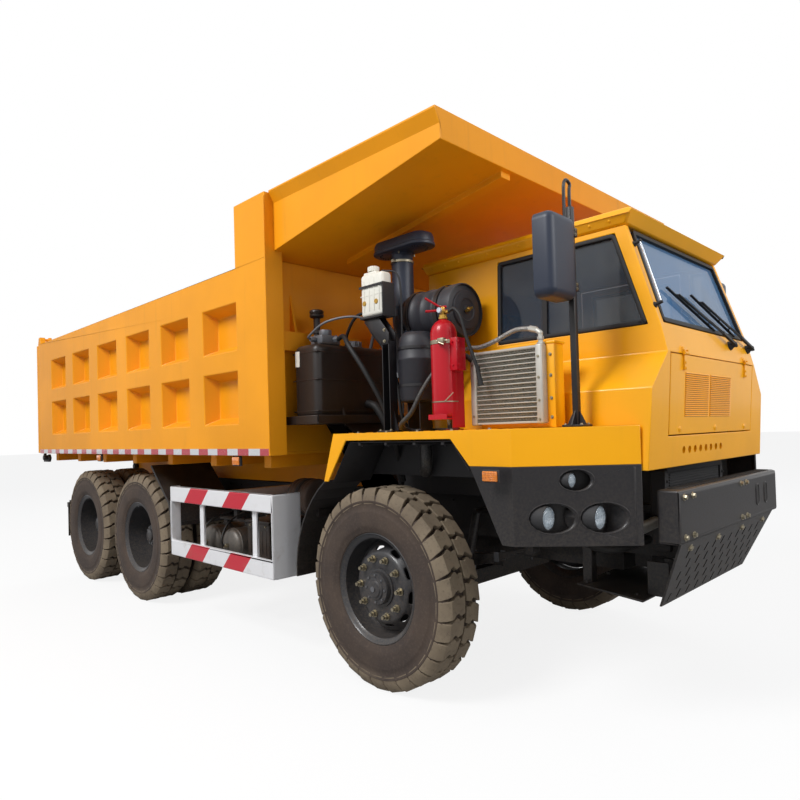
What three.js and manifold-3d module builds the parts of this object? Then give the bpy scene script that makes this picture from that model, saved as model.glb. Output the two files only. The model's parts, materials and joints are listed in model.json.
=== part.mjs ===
// Rigid six-by-four mining dump truck, in millimetres.
// X points forward, Y to the driver's left, Z up; the ground is Z = 0 and the
// origin is half-way along the truck's length on its centre line.
import * as THREE from 'three';
import { mergeVertices } from 'three/addons/utils/BufferGeometryUtils.js';
import Module from 'manifold-3d';

const wasm = await Module();
wasm.setup();

const GAP = 0.3;

// Running gear
const FRONT_AXLE_X = 2170;
const WHEELBASE = 3420;
const TANDEM = 1420;
const MIDDLE_AXLE_X = FRONT_AXLE_X - WHEELBASE;
const REAR_AXLE_X = MIDDLE_AXLE_X - TANDEM;
const TRUNNION_X = (MIDDLE_AXLE_X + REAR_AXLE_X) / 2;
const TYRE_R = 620;
const TYRE_W = 315;
const SEAT_R = 305;
const FLANGE_R = 343;
const FRONT_WHEEL_Y = 1110;
const TWIN_Y = 989;
const TWIN_SPACING = 354;
const WHEEL_SEGMENTS = 20;
const KINGPIN_Y = 860;
const KINGPIN_R = 22;
const SPINDLE_R = 45;
const DRIVE_SPINDLE_R = 58;
const STEER_ARM = 240;
const TIE_ROD_Z = 507;
const TIE_STUD_R = 15;

// Chassis
const RAIL_Y = 400;
const RAIL_TOP = 1130;
const RAIL_HEIGHT = 280;
const RAIL_BOTTOM = RAIL_TOP - RAIL_HEIGHT;
const RAIL_FLANGE = 80;
const RAIL_WALL = 12;
const RAIL_FRONT = 3740;
const RAIL_REAR = REAR_AXLE_X - 850;

// Dump body
const BODY_HALF = 1475;
const BODY_BOTTOM = 1446;
const BODY_TOP = 2812;
const BODY_REAR = REAR_AXLE_X - 1120;
const SIDE_DEPTH = 140;
const BODY_INNER = BODY_HALF - SIDE_DEPTH;
const POST_REAR = 995;
const POST_FRONT = 1400;
const POST_TOP = 3266;
const WALL_REAR = 1255;
const WALL_FRONT = 1275;
const FLOOR_TOP = 1466;
const HINGE_X = REAR_AXLE_X - 680;
const HINGE_Z = 1230;
const HINGE_PIN_R = 35;
const BAY_COUNT = 6;
const BAY_WIDTH = 510;
const BAY_FRONT_X = 743;
const BAY_REAR_MARGIN = 758;
const BAY_PITCH = (BAY_FRONT_X - BODY_REAR - BAY_REAR_MARGIN) / (BAY_COUNT - 1);
const BAY_SLOPE = 48;
const BAY_DEPTH = 112;
const CANOPY_FRONT = 2958;
const CANOPY_TOP = 3278;
const CANOPY_HALF = BODY_HALF - 35;
const CANOPY_WALL = CANOPY_HALF - 37;
const CANOPY_LIP_Z = 3111;
const CANOPY_SLOPE = 0.158;
const GATE_THICK = 62;
const GATE_RIB = 32;
const GATE_PIN_X = BODY_REAR + 50;
const GATE_PIN_Z = 2868;
const GATE_PIN_R = 18;
const GATE_ARM_Y = BODY_INNER + 5;

// Cab
const CAB_REAR = 2170;
const CAB_WALL = 40;
const CAB_SECTION = [
  [-887, 1361], [887, 1361], [872, 1768], [697, 1955], [666, 2655], [-666, 2655],
  [-697, 1955], [-872, 1768],
];
const CAB_PROFILE = [
  [CAB_REAR, 1361], [3778, 1361], [3817, 1955], [3786, 2086], [3602, 2655], [CAB_REAR, 2655],
];
const DOOR_HINGE = [3372, 880];
const DOOR_R = 800;
const DOOR_GAP = 8;
const DOOR_HINGE_Z = [1622, 1700];
const HINGE_KNUCKLE_R = 15;
const HINGE_ROD_R = 7;
const PANEL_HINGE = [3828, 1955];
const PANEL_HINGE_Y = 490;
const PANEL_KNUCKLE_R = 9;
const PANEL_ROD_R = 4;

// Decks beside the cab
const DECK_TOP = 1585;
const DECK_Y = 1285;
const DECK_SPLIT_Z = DECK_TOP - 191;
const PANEL_BOTTOM = DECK_SPLIT_Z - 396;
const LADDER_FOOT = DECK_SPLIT_Z - 964;
const CORNER_X = 3260;
const INNER_X = 3749;
const INNER_Y = 897;
const SKIN = 12;

// Front
const BUMPER_FRONT = 3890;
const BUMPER_DEPTH = 114;
const BUMPER_HALF = 806;
const BUMPER_Z = [996, 1262];

// Hoist
const HOIST_X = 1672;
const HOIST_Z = 840;
const HOIST_LENGTH = 1460;
const HOIST_RADII = [100, 85, 70, 55];

const paint = {
  yellow: { color: 0xf2a416, roughness: 0.4, metalness: 0.1 },
  body: { color: 0xee9d12, roughness: 0.45, metalness: 0.1 },
  black: { color: 0x2b2b2d, roughness: 0.55, metalness: 0.2 },
  chassis: { color: 0x2a2a2c, roughness: 0.7, metalness: 0.2 },
  navy: { color: 0x23252f, roughness: 0.45, metalness: 0.1 },
  white: { color: 0xe8e8e6, roughness: 0.4, metalness: 0.1 },
  red: { color: 0xb51524, roughness: 0.3, metalness: 0.1 },
  glass: { color: 0x53626e, roughness: 0.08, metalness: 0 },
  tyre: { color: 0x3a332e, roughness: 0.92, metalness: 0 },
  rim: { color: 0x232425, roughness: 0.5, metalness: 0.4 },
  alloy: { color: 0xa9adb0, roughness: 0.4, metalness: 0.85 },
  steel: { color: 0x8b8f93, roughness: 0.35, metalness: 0.9 },
  trim: { color: 0x1d1d1f, roughness: 0.8, metalness: 0 },
};

// ---- shape helpers ----

function bare(geometry) {
  const plain = new THREE.BufferGeometry();
  const source = geometry.index ? geometry.toNonIndexed() : geometry;
  plain.setAttribute('position', source.getAttribute('position').clone());
  return plain;
}

function toSolid(geometry) {
  const merged = mergeVertices(bare(geometry), 1e-3);
  return new wasm.Manifold(new wasm.Mesh({
    numProp: 3,
    vertProperties: merged.attributes.position.array,
    triVerts: new Uint32Array(merged.index.array),
  }));
}

function fromSolid(solid) {
  const mesh = solid.getMesh();
  const geometry = new THREE.BufferGeometry();
  geometry.setAttribute('position', new THREE.BufferAttribute(mesh.vertProperties, 3));
  geometry.setIndex(new THREE.BufferAttribute(mesh.triVerts, 1));
  return geometry;
}

function join(...parts) {
  return fromSolid(parts.map(toSolid).reduce((a, b) => a.add(b)));
}

function cut(base, ...tools) {
  return fromSolid(tools.map(toSolid).reduce((a, b) => a.subtract(b), toSolid(base)));
}

function common(a, b) {
  return fromSolid(toSolid(a).intersect(toSolid(b)));
}

function mirrored(geometry) {
  const flipped = bare(geometry);
  flipped.scale(1, -1, 1);
  const p = flipped.attributes.position;
  for (let i = 0; i < p.count; i += 3) {
    const b = new THREE.Vector3().fromBufferAttribute(p, i + 1);
    const c = new THREE.Vector3().fromBufferAttribute(p, i + 2);
    p.setXYZ(i + 1, c.x, c.y, c.z);
    p.setXYZ(i + 2, b.x, b.y, b.z);
  }
  return flipped;
}

function onBothSides(geometry) {
  return [geometry, mirrored(geometry)];
}

function block(x, y, z) {
  const size = [x, y, z].map(([low, high]) => high - low);
  const middle = [x, y, z].map(([low, high]) => (high + low) / 2);
  return new THREE.BoxGeometry(...size).translate(...middle);
}

function area(points) {
  const turned = THREE.ShapeUtils.area(points.map(([a, b]) => new THREE.Vector2(a, b))) < 0;
  const list = turned ? [...points].reverse() : points;
  return new THREE.Shape(list.map(([a, b]) => new THREE.Vector2(a, b)));
}

function slab(points, depth) {
  return new THREE.ExtrudeGeometry(area(points), { depth, bevelEnabled: false, steps: 1 });
}

// Outline given as [y, z], run along X.
function alongX(points, from, to) {
  const turn = new THREE.Matrix4().makeBasis(
    new THREE.Vector3(0, 1, 0), new THREE.Vector3(0, 0, 1), new THREE.Vector3(1, 0, 0));
  return slab(points, to - from).applyMatrix4(turn).translate(from, 0, 0);
}

// Outline given as [x, z], run along Y.
function alongY(points, from, to) {
  return slab(points, to - from).rotateX(Math.PI / 2).translate(0, to, 0);
}

// Outline given as [x, y], run along Z.
function alongZ(points, from, to) {
  return slab(points, to - from).translate(0, 0, from);
}

function rod(axis, radius, from, to, [a, b], sides = 16) {
  const bar = new THREE.CylinderGeometry(radius, radius, to - from, sides);
  const middle = (from + to) / 2;
  if (axis === 'x') return bar.rotateZ(-Math.PI / 2).translate(middle, a, b);
  if (axis === 'y') return bar.translate(a, middle, b);
  return bar.rotateX(Math.PI / 2).translate(a, b, middle);
}

// A round hole whose flats clear a pin of this radius by GAP.
function boreFor(axis, pinRadius, from, to, at, sides = 24) {
  return rod(axis, (pinRadius + GAP) / Math.cos(Math.PI / sides), from, to, at, sides);
}

function strut(start, end, radius, sides = 8) {
  const a = new THREE.Vector3(...start);
  const b = new THREE.Vector3(...end);
  const bar = new THREE.CylinderGeometry(radius, radius, a.distanceTo(b), sides);
  const turn = new THREE.Quaternion().setFromUnitVectors(
    new THREE.Vector3(0, 1, 0), b.clone().sub(a).normalize());
  const middle = a.add(b).multiplyScalar(0.5);
  return bar.applyQuaternion(turn).translate(middle.x, middle.y, middle.z);
}

// Profile of [radius, outward distance], spun about a Y axis; side is 1 or -1.
function spun(profile, [x, y, z], side = 1, sides = WHEEL_SEGMENTS) {
  const points = profile.map(([r, a]) => new THREE.Vector2(r, a));
  const ring = new THREE.LatheGeometry(points, sides);
  const faced = side > 0 ? ring : mirrored(ring);
  return faced.translate(x, y, z);
}

function inset(points, distance) {
  const count = points.length;
  return points.map((point, i) => {
    const before = points[(i + count - 1) % count];
    const after = points[(i + 1) % count];
    const a = edgeLine(before, point, distance);
    const b = edgeLine(point, after, distance);
    const det = a[0] * b[1] - a[1] * b[0];
    return [(a[2] * b[1] - a[1] * b[2]) / det, (a[0] * b[2] - a[2] * b[0]) / det];
  });
}

// A line n.x = c, moved to the left of the direction from p to q.
function edgeLine([px, py], [qx, qy], distance) {
  const length = Math.hypot(qx - px, qy - py);
  const nx = -(qy - py) / length;
  const ny = (qx - px) / length;
  return [nx, ny, nx * px + ny * py + distance];
}

function arc([x, z], radius, from, to, steps) {
  return Array.from({ length: steps + 1 }, (_, i) => {
    const angle = THREE.MathUtils.degToRad(from + ((to - from) * i) / steps);
    return [x + radius * Math.cos(angle), z + radius * Math.sin(angle)];
  });
}

const truck = new THREE.Group();

function add(name, geometry, look) {
  const skin = new THREE.MeshStandardMaterial(look);
  skin.name = name;
  const shown = bare(geometry);
  shown.computeVertexNormals();
  const mesh = new THREE.Mesh(shown, skin);
  mesh.name = name;
  truck.add(mesh);
}

function addPair(name, right, look) {
  add(`${name}_right`, right, look);
  add(`${name}_left`, mirrored(right), look);
}

// ---- chassis ----

function frame() {
  const [out, web, lip] = [RAIL_Y, RAIL_Y - RAIL_WALL, RAIL_Y - RAIL_FLANGE];
  const rail = alongX([
    [out, RAIL_BOTTOM], [out, RAIL_TOP], [lip, RAIL_TOP], [lip, RAIL_TOP - RAIL_WALL],
    [web, RAIL_TOP - RAIL_WALL], [web, RAIL_BOTTOM + RAIL_WALL], [lip, RAIL_BOTTOM + RAIL_WALL],
    [lip, RAIL_BOTTOM],
  ], RAIL_REAR, RAIL_FRONT);
  const crossX = [RAIL_REAR + 40, TRUNNION_X, MIDDLE_AXLE_X + 730, 900, RAIL_FRONT - 60];
  const crosses = crossX.map((x) => block([x - 40, x + 40], [-web - 2, web + 2],
    [RAIL_BOTTOM + 20, RAIL_TOP - 20]));
  const cabPosts = [2300, 3600].flatMap((x) => onBothSides(
    block([x - 40, x + 40], [lip, out], [RAIL_TOP - 5, CAB_SECTION[0][1] - GAP])));
  return join(...onBothSides(rail), ...crosses, ...cabPosts, ...hoistCradle(), ...bodyLugs());
}

function hoistCradle() {
  const hangers = onBothSides(block([HOIST_X - 60, HOIST_X + 60], [RAIL_Y - 64, RAIL_Y - 38],
    [HOIST_Z - 50, RAIL_BOTTOM + 6]));
  return [...hangers, rod('y', HINGE_PIN_R, 50 - RAIL_Y, RAIL_Y - 50,
    [HOIST_X, HOIST_Z])];
}

function bodyLugs() {
  const lug = alongY([
    [HINGE_X - 60, 980], [HINGE_X + 60, 980], [HINGE_X + 45, HINGE_Z + 45],
    [HINGE_X - 45, HINGE_Z + 45],
  ], RAIL_Y + 62, RAIL_Y + 88);
  const spacer = block([HINGE_X - 55, HINGE_X + 55], [RAIL_Y - 6, RAIL_Y + 70], [985, 1080]);
  return [...onBothSides(lug), ...onBothSides(spacer),
    rod('y', HINGE_PIN_R, -RAIL_Y - 100, RAIL_Y + 100, [HINGE_X, HINGE_Z])];
}

function powertrain() {
  const half = RAIL_Y - RAIL_FLANGE - 30;
  const engine = block([2360, 3340], [-half, half], [720, 1330]);
  const gearbox = block([1900, 2362], [-180, 180], [600, 1010]);
  const radiator = block([3420, 3520], [-half - 18, half + 18], [760, 1330]);
  const shroud = block([3338, 3422], [50 - half, half - 50], [820, 1280]);
  const mounts = [2520, 3180].flatMap((x) => onBothSides(block([x, x + 90],
    [half - 10, RAIL_Y - RAIL_WALL - GAP], [RAIL_BOTTOM + RAIL_WALL + GAP, 940])));
  const shaft = strut([1905, 0, 650], [MIDDLE_AXLE_X + 330, 0, 735], 45, 12);
  return join(engine, gearbox, radiator, shroud, shaft, ...mounts);
}

function frontAxle() {
  const beam = alongX([
    [-900, 570], [-760, 560], [-640, 470], [640, 470], [760, 560], [900, 570], [900, 670],
    [740, 665], [600, 575], [-600, 575], [-740, 665], [-900, 670],
  ], FRONT_AXLE_X - 48, FRONT_AXLE_X + 48);
  const trim = block([FRONT_AXLE_X - 60, FRONT_AXLE_X + 60], [KINGPIN_Y + 10, 950], [500, 740]);
  const boss = rod('z', 46, 566, 674, [FRONT_AXLE_X, KINGPIN_Y], 20);
  const bore = boreFor('z', KINGPIN_R, 540, 700, [FRONT_AXLE_X, KINGPIN_Y]);
  const pad = block([FRONT_AXLE_X - 70, FRONT_AXLE_X + 70], [RAIL_Y - 38, RAIL_Y + 38],
    [560, 641]);
  const shortened = cut(beam, ...onBothSides(trim));
  return cut(join(shortened, ...onBothSides(boss), ...onBothSides(pad)), ...onBothSides(bore));
}

function knuckle(side) {
  const x = FRONT_AXLE_X;
  const ears = [[681, 716], [518, 553]].map(([low, high]) => join(
    rod('z', 44, low, high, [x, KINGPIN_Y], 16),
    block([x - 44, x + 44], [KINGPIN_Y, 948], [low, high])));
  const pin = rod('z', KINGPIN_R, 525, 710, [x, KINGPIN_Y], 16);
  const web = block([x - 60, x + 60], [912, 948], [518, 716]);
  const spindle = rod('y', SPINDLE_R, 940, 1140, [x, TYRE_R], 16);
  const arm = block([x - STEER_ARM - 24, x - 20], [KINGPIN_Y - 24, KINGPIN_Y + 24], [530, 553]);
  const stud = rod('z', TIE_STUD_R, TIE_ROD_Z - 21, 535, [x - STEER_ARM, KINGPIN_Y], 12);
  const right = mirrored(join(...ears, pin, web, spindle, arm, stud));
  return side > 0 ? mirrored(right) : right;
}

function tieRod() {
  const x = FRONT_AXLE_X - STEER_ARM;
  const bar = rod('y', 18, -KINGPIN_Y + 10, KINGPIN_Y - 10, [x, TIE_ROD_Z], 12);
  const eye = rod('z', 30, TIE_ROD_Z - 18, TIE_ROD_Z + 18, [x, KINGPIN_Y], 16);
  const hole = boreFor('z', TIE_STUD_R, TIE_ROD_Z - 30, TIE_ROD_Z + 30, [x, KINGPIN_Y]);
  return cut(join(bar, ...onBothSides(eye)), ...onBothSides(hole));
}

function frontSpring() {
  const x = FRONT_AXLE_X;
  const leaves = alongY([
    [x - 600, 812], [x - 300, 738], [x - 100, 722], [x + 100, 722], [x + 300, 738],
    [x + 600, 812], [x + 600, 790], [x + 300, 712], [x + 90, 641.3], [x - 90, 641.3],
    [x - 300, 712], [x - 600, 790],
  ], RAIL_Y - 35, RAIL_Y + 35);
  const eyes = [-600, 600].flatMap((dx) => [
    rod('y', 30, RAIL_Y - 35, RAIL_Y + 35, [x + dx, 800], 12),
    block([x + dx - 22, x + dx + 22], [RAIL_Y - 30, RAIL_Y + 30], [800, RAIL_BOTTOM - GAP])]);
  return join(leaves, ...eyes);
}

function drivenAxle(x) {
  const tube = rod('y', 84, -660, 660, [x, TYRE_R], 12);
  const spindle = rod('y', DRIVE_SPINDLE_R, -1040, 1040, [x, TYRE_R], 12);
  const housing = rod('x', 200, x - 130, x + 130, [0, TYRE_R], 16);
  const nose = rod('x', 70, x - 200, x + 326, [0, 735], 10);
  const pad = block([x - 60, x + 60], [RAIL_Y + 47, RAIL_Y + 123], [TYRE_R + 40, 746]);
  return join(tube, spindle, housing, nose, ...onBothSides(pad));
}

function rearSuspension() {
  const x = TRUNNION_X;
  const half = TANDEM / 2;
  const pack = alongY([
    [x - half - 70, 768], [x - half + 60, 772], [x - 120, 850], [x + 120, 850],
    [x + half - 60, 772], [x + half + 70, 768], [x + half + 70, 746.3], [x + half - 60, 746.3],
    [x + 130, 700], [x - 130, 700], [x - half + 60, 746.3], [x - half - 70, 746.3],
  ], RAIL_Y + 48, RAIL_Y + 122);
  const tube = rod('y', 60, -RAIL_Y - 160, RAIL_Y + 160, [x, TYRE_R], 16);
  const saddle = block([x - 90, x + 90], [RAIL_Y + 40, RAIL_Y + 130], [TYRE_R, 705]);
  const bracket = alongY([
    [x - 70, 570], [x + 70, 570], [x + 150, RAIL_BOTTOM - GAP], [x - 150, RAIL_BOTTOM - GAP],
  ], RAIL_Y - 74, RAIL_Y - 4);
  return join(tube, ...onBothSides(pack), ...onBothSides(saddle), ...onBothSides(bracket));
}

// ---- wheels ----

function tyreProfile() {
  const half = TYRE_W / 2;
  const tread = [[480, half], [594, half - 10], [TYRE_R, half - 62]];
  const bead = [[SEAT_R + GAP, 117.7], [FLANGE_R + GAP, 117.7], [FLANGE_R + GAP, 134], [400, 150]];
  const outer = [...bead, ...tread];
  const inner = outer.map(([r, a]) => [r, -a]).reverse();
  return [...inner, ...outer, inner[0]].reverse();
}

function hubBore(spindle) {
  return (spindle + GAP) / Math.cos(Math.PI / WHEEL_SEGMENTS);
}

function frontRimProfile() {
  const bore = hubBore(SPINDLE_R);
  return [
    [0, 40], [bore, 40], [bore, -110], [70, -110], [70, -20], [186, -20], [186, -118], [210, -118],
    [210, 20], [276, 20], [288, -128], [FLANGE_R, -128], [FLANGE_R, -118], [SEAT_R, -118],
    [SEAT_R, 118], [FLANGE_R, 118], [FLANGE_R, 128], [288, 128], [276, 70], [232, 92],
    [118, 92], [104, 122], [0, 122],
  ];
}

function twinProfile() {
  const half = TYRE_W / 2;
  const s = TWIN_SPACING / 2;
  const bore = hubBore(DRIVE_SPINDLE_R);
  const tyreAt = (c) => [
    [FLANGE_R, c - 128], [440, c - half + 4], [590, c - half + 8],
    [TYRE_R, c - 96], [TYRE_R, c + 96], [590, c + half - 8],
    [440, c + half - 4], [FLANGE_R, c + 128],
  ];
  return [
    [0, 60], [bore, 60], [bore, -250], [90, -250], [90, -150], [185, -150], [185, -310],
    [208, -310], [208, -30], [286, -30], [286, -s - 128], ...tyreAt(-s), [318, -s + 128],
    [318, s - 128], ...tyreAt(s), [286, s + 128], [286, 12], [150, 12], [128, 150], [0, 150],
  ];
}

function addWheels() {
  for (const [word, side] of [['right', -1], ['left', 1]]) {
    const front = [FRONT_AXLE_X, side * FRONT_WHEEL_Y, TYRE_R];
    add(`front_tyre_${word}`, spun(tyreProfile(), front, side), paint.tyre);
    add(`front_rim_${word}`, spun(frontRimProfile(), front, side), paint.rim);
    for (const [axle, x] of [['middle', MIDDLE_AXLE_X], ['rear', REAR_AXLE_X]]) {
      const twin = spun(twinProfile(), [x, side * TWIN_Y, TYRE_R], side);
      add(`${axle}_twin_${word}`, twin, paint.tyre);
    }
  }
}

// ---- cab ----

function cabSolid(t, top = 0) {
  const raise = ([a, z]) => [a, z > 2600 ? z + top : z];
  const section = inset(CAB_SECTION, t).map(raise);
  const profile = inset(CAB_PROFILE, t).map(raise);
  return common(alongX(section, 2000, 4000), alongY(profile, -1000, 1000));
}

function windscreenHole(t) {
  const face = inset([[-640, 2112], [640, 2112], [604, 2632], [-604, 2632]], t);
  return alongX(face, 3400, 4000);
}

function rightWindowHole(t) {
  const face = inset([[2758, 2104], [3716, 2104], [3540, 2622], [2758, 2622]], t);
  return alongY(face, -1000, -500);
}

function doorWindowHole(t) {
  const face = inset([[2690, 2104], [3312, 2104], [3312, 2590], [2690, 2590]], t);
  return alongY(face, 500, 1000);
}

function quarterWindowHole(t) {
  const face = inset([[3440, 2104], [3716, 2104], [3544, 2622], [3440, 2622]], t);
  return alongY(face, 500, 1000);
}

function doorZone(grow) {
  const [x, y] = DOOR_HINGE;
  const outline = inset([[2500, 1604], [x, 1604], [x, 2632], [2500, 2632]], -grow);
  const sweep = rod('z', DOOR_R + grow, 1300, 2800, [x, y], 64);
  return common(alongY(outline, 560, 1000), sweep);
}

// Each hinge: a lug with an upright pin on the cab, and an eye on the door above the lug.
function doorHingeLug(z) {
  const [x, y] = DOOR_HINGE;
  return join(rod('z', HINGE_KNUCKLE_R, z, z + 14, [x, y], 12),
    rod('z', HINGE_ROD_R, z, z + 44, [x, y], 10),
    block([x, x + 44], [y - 20, y + HINGE_KNUCKLE_R - 1], [z, z + 14]));
}

function doorHingeEye(z) {
  const [x, y] = DOOR_HINGE;
  return join(rod('z', HINGE_KNUCKLE_R, z + 19, z + 40, [x, y], 12),
    block([x - 70, x], [y - 20, y + HINGE_KNUCKLE_R - 1], [z + 19, z + 40]));
}

function aroundDoorHinge() {
  const [x, y] = DOOR_HINGE;
  return rod('z', HINGE_KNUCKLE_R + 6, DOOR_HINGE_Z[0] - 6, DOOR_HINGE_Z[1] + 50, [x, y], 16);
}

function panelHingeLeaf(y) {
  const [x, z] = PANEL_HINGE;
  const lugs = [-28, 17].map((d) => join(
    rod('y', PANEL_KNUCKLE_R, y + d, y + d + 11, [x, z], 10),
    block([x - 24, x + 5], [y + d, y + d + 11], [z + 3, z + 18])));
  const leaf = block([x - 30, x - 5], [y - 28, y + 28], [z + 8, z + 36]);
  return join(...lugs, leaf, rod('y', PANEL_ROD_R, y - 20, y + 20, [x, z], 8));
}

function panelHingeStrap(y) {
  const [x, z] = PANEL_HINGE;
  const eye = rod('y', PANEL_KNUCKLE_R, y - 15, y + 15, [x, z], 10);
  return join(eye, block([x - 17, x - 4], [y - 13, y + 13], [z - 88, z - 3]));
}

function panelZone(t) {
  return alongX(inset([[-654, 1529], [654, 1529], [654, 1948], [-654, 1948]], t), 3600, 4000);
}

function cabShell() {
  const hollow = cabSolid(CAB_WALL, 200);
  const vents = Array.from({ length: 8 }, (_, i) => rod('x', 21, 3600, 4000,
    [-455 + i * 80, 1445], 12));
  const walls = cut(cabSolid(0), hollow, windscreenHole(0), rightWindowHole(0),
    quarterWindowHole(0), doorZone(DOOR_GAP), panelZone(-6), aroundDoorHinge(), ...vents);
  return join(walls, ...DOOR_HINGE_Z.map(doorHingeLug),
    ...onBothSides(panelHingeLeaf(PANEL_HINGE_Y)));
}

function cabRoof() {
  const low = 2655 + GAP;
  const side = alongY([
    [2158, low], [3606, low], [3652, 2712], [3640, 2739], [2146, 2739], [2146, 2700],
  ], -800, 800);
  const across = alongX([
    [-672, low], [672, low], [708, 2708], [694, 2739], [-694, 2739], [-708, 2708],
  ], 2000, 4000);
  return common(side, across);
}

function pane(hole) {
  return common(cut(cabSolid(14), cabSolid(22)), hole);
}

function door() {
  const wall = cut(cabSolid(0), cabSolid(CAB_WALL, 200));
  const leaf = cut(common(wall, doorZone(0)), doorWindowHole(0), aroundDoorHinge());
  const [x, y] = DOOR_HINGE;
  const holes = DOOR_HINGE_Z.map((z) => boreFor('z', HINGE_ROD_R, z, z + 50, [x, y], 12));
  return cut(join(leaf, ...DOOR_HINGE_Z.map(doorHingeEye)), ...holes);
}

function doorPane() {
  return common(cut(cabSolid(14), cabSolid(22)), doorWindowHole(GAP));
}

function frontPanel() {
  const wall = cut(cabSolid(0), cabSolid(CAB_WALL, 200));
  const [x, z] = PANEL_HINGE;
  const hole = boreFor('y', PANEL_ROD_R, -600, 600, [x, z], 12);
  const panel = common(wall, panelZone(0));
  return cut(join(panel, ...onBothSides(panelHingeStrap(PANEL_HINGE_Y))), hole);
}

function cabInterior() {
  const mat = block([2300, 3700], [-760, 760], [1401.3, 1420]);
  const base = block([2420, 2900], [-230, 230], [1415, 1640]);
  const cushion = block([2400, 2920], [-260, 260], [1635, 1760]);
  const back = alongY([[2400, 1740], [2520, 1740], [2420, 2330], [2310, 2330]], -240, 240);
  const column = strut([3480, 0, 1500], [3240, 0, 1990], 35, 8);
  const wheel = strut([3231, 0, 2008], [3246, 0, 1980], 215, 16);
  const dash = alongY([[3500, 1410], [3660, 1410], [3690, 1985], [3420, 1985], [3380, 1900],
    [3500, 1800]], -620, 620);
  return join(mat, base, cushion, back, column, wheel, dash);
}

// ---- decks ----

// A plate over the slanted corner, from the side skin to the cab.
function cornerPlate(thick) {
  const [dx, dy] = [INNER_X - CORNER_X, INNER_Y - DECK_Y];
  const length = Math.hypot(dx, dy);
  const [nx, ny] = [dy / length, -dx / length];
  return [[CORNER_X, DECK_Y], [INNER_X, INNER_Y], [INNER_X + nx * thick, INNER_Y + ny * thick],
    [CORNER_X + nx * thick * 0.4, DECK_Y - thick]];
}

function deck() {
  const skirt = alongY([
    [1849, DECK_TOP], [CORNER_X, DECK_TOP], [CORNER_X, DECK_SPLIT_Z], [2985, DECK_SPLIT_Z],
    [2858, DECK_TOP - 46], [1971, DECK_TOP - 46], [1782, DECK_TOP - 314], [1739, DECK_TOP - 314],
  ], DECK_Y - SKIN, DECK_Y);
  const corner = alongZ(cornerPlate(SKIN), DECK_SPLIT_Z, DECK_TOP);
  const top = alongZ([
    [1849, INNER_Y], [1849, DECK_Y - 2], [CORNER_X, DECK_Y - 2], [INNER_X - 2, INNER_Y],
  ], DECK_TOP - SKIN, DECK_TOP);
  const inner = block([1880, 3700], [INNER_Y, INNER_Y + SKIN], [DECK_TOP - 105, DECK_TOP - 4]);
  return mirrored(join(skirt, corner, top, inner));
}

// Each lamp: share of the way along the corner, height over the panel's foot, radius.
const LAMPS = [[0.31, 138, 73], [0.71, 138, 73], [0.5, 324, 51]];

function lampPoint(part) {
  return [CORNER_X + (INNER_X - CORNER_X) * part, DECK_Y + (INNER_Y - DECK_Y) * part];
}

function lampPanel() {
  const top = DECK_SPLIT_Z - GAP;
  const side = alongY([[2988, top], [CORNER_X, top], [CORNER_X, PANEL_BOTTOM],
    [3184, PANEL_BOTTOM]], DECK_Y - SKIN, DECK_Y);
  const corner = alongZ(cornerPlate(SKIN), PANEL_BOTTOM, top);
  const holes = LAMPS.map(([part, z, r]) => {
    const [x, y] = lampPoint(part);
    return rod('x', r, x - 160, x + 160, [y, PANEL_BOTTOM + z], 16);
  });
  const lamps = LAMPS.map(([part, z, r]) => {
    const [x, y] = lampPoint(part);
    return rod('x', r - 8, x - 190, x - 62, [y, PANEL_BOTTOM + z], 12);
  });
  const backA = lampPoint(0.06);
  const backB = lampPoint(0.94);
  const carrier = alongZ([[backA[0] - 150, backA[1] - 10], [backB[0] - 150, backB[1] - 10],
    [backB[0] - 166, backB[1] - 10], [backA[0] - 166, backA[1] - 10]],
    PANEL_BOTTOM + 52, top - 14);
  const rib = block([backB[0] - 166, backB[0] + 6], [INNER_Y + 14, INNER_Y + 26],
    [PANEL_BOTTOM + 12, top - 14]);
  const foot = block([3380, 3560], [RAIL_Y + GAP, INNER_Y + 60],
    [RAIL_TOP - 110, RAIL_TOP - 40]);
  return mirrored(join(cut(join(side, corner), ...holes), carrier, ...lamps, rib, foot));
}

function ladder() {
  const stringers = [2998, 3216].map((x) => block([x, x + 24], [DECK_Y + GAP, DECK_Y + 42],
    [LADDER_FOOT, DECK_SPLIT_Z - 14]));
  const hooks = [3010, 3216].map((x) => block([x, x + 24], [DECK_Y - 2, DECK_Y + 10],
    [DECK_SPLIT_Z - 94, DECK_SPLIT_Z - 24]));
  const rungs = [0, 1, 2, 3].map((i) => LADDER_FOOT + 30 + i * 280).map((z) => (
    block([3000, 3238], [DECK_Y + 1, DECK_Y + 60], [z, z + 28])));
  return join(...stringers, ...hooks, ...rungs);
}

function mudguard() {
  const centre = [FRONT_AXLE_X, TYRE_R];
  const sheet = alongY([...arc(centre, 790, 124, 182, 8), ...arc(centre, 780, 182, 124, 8)],
    930, DECK_Y - SKIN - 1);
  const arm = block([1478, 1532], [RAIL_Y + GAP, 1180], [1012, 1060]);
  return mirrored(join(sheet, arm));
}

// ---- front end ----

function bumper() {
  const back = BUMPER_FRONT - BUMPER_DEPTH;
  const [low, high] = BUMPER_Z;
  const beam = alongY([[back, low], [BUMPER_FRONT - 14, low], [BUMPER_FRONT, low + 14],
    [BUMPER_FRONT, high - 14], [BUMPER_FRONT - 14, high], [back, high]],
    -BUMPER_HALF, BUMPER_HALF);
  const bracket = block([RAIL_FRONT + GAP, back + 2], [RAIL_Y - 90, RAIL_Y], [1000, RAIL_TOP]);
  return join(beam, ...onBothSides(bracket));
}

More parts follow.
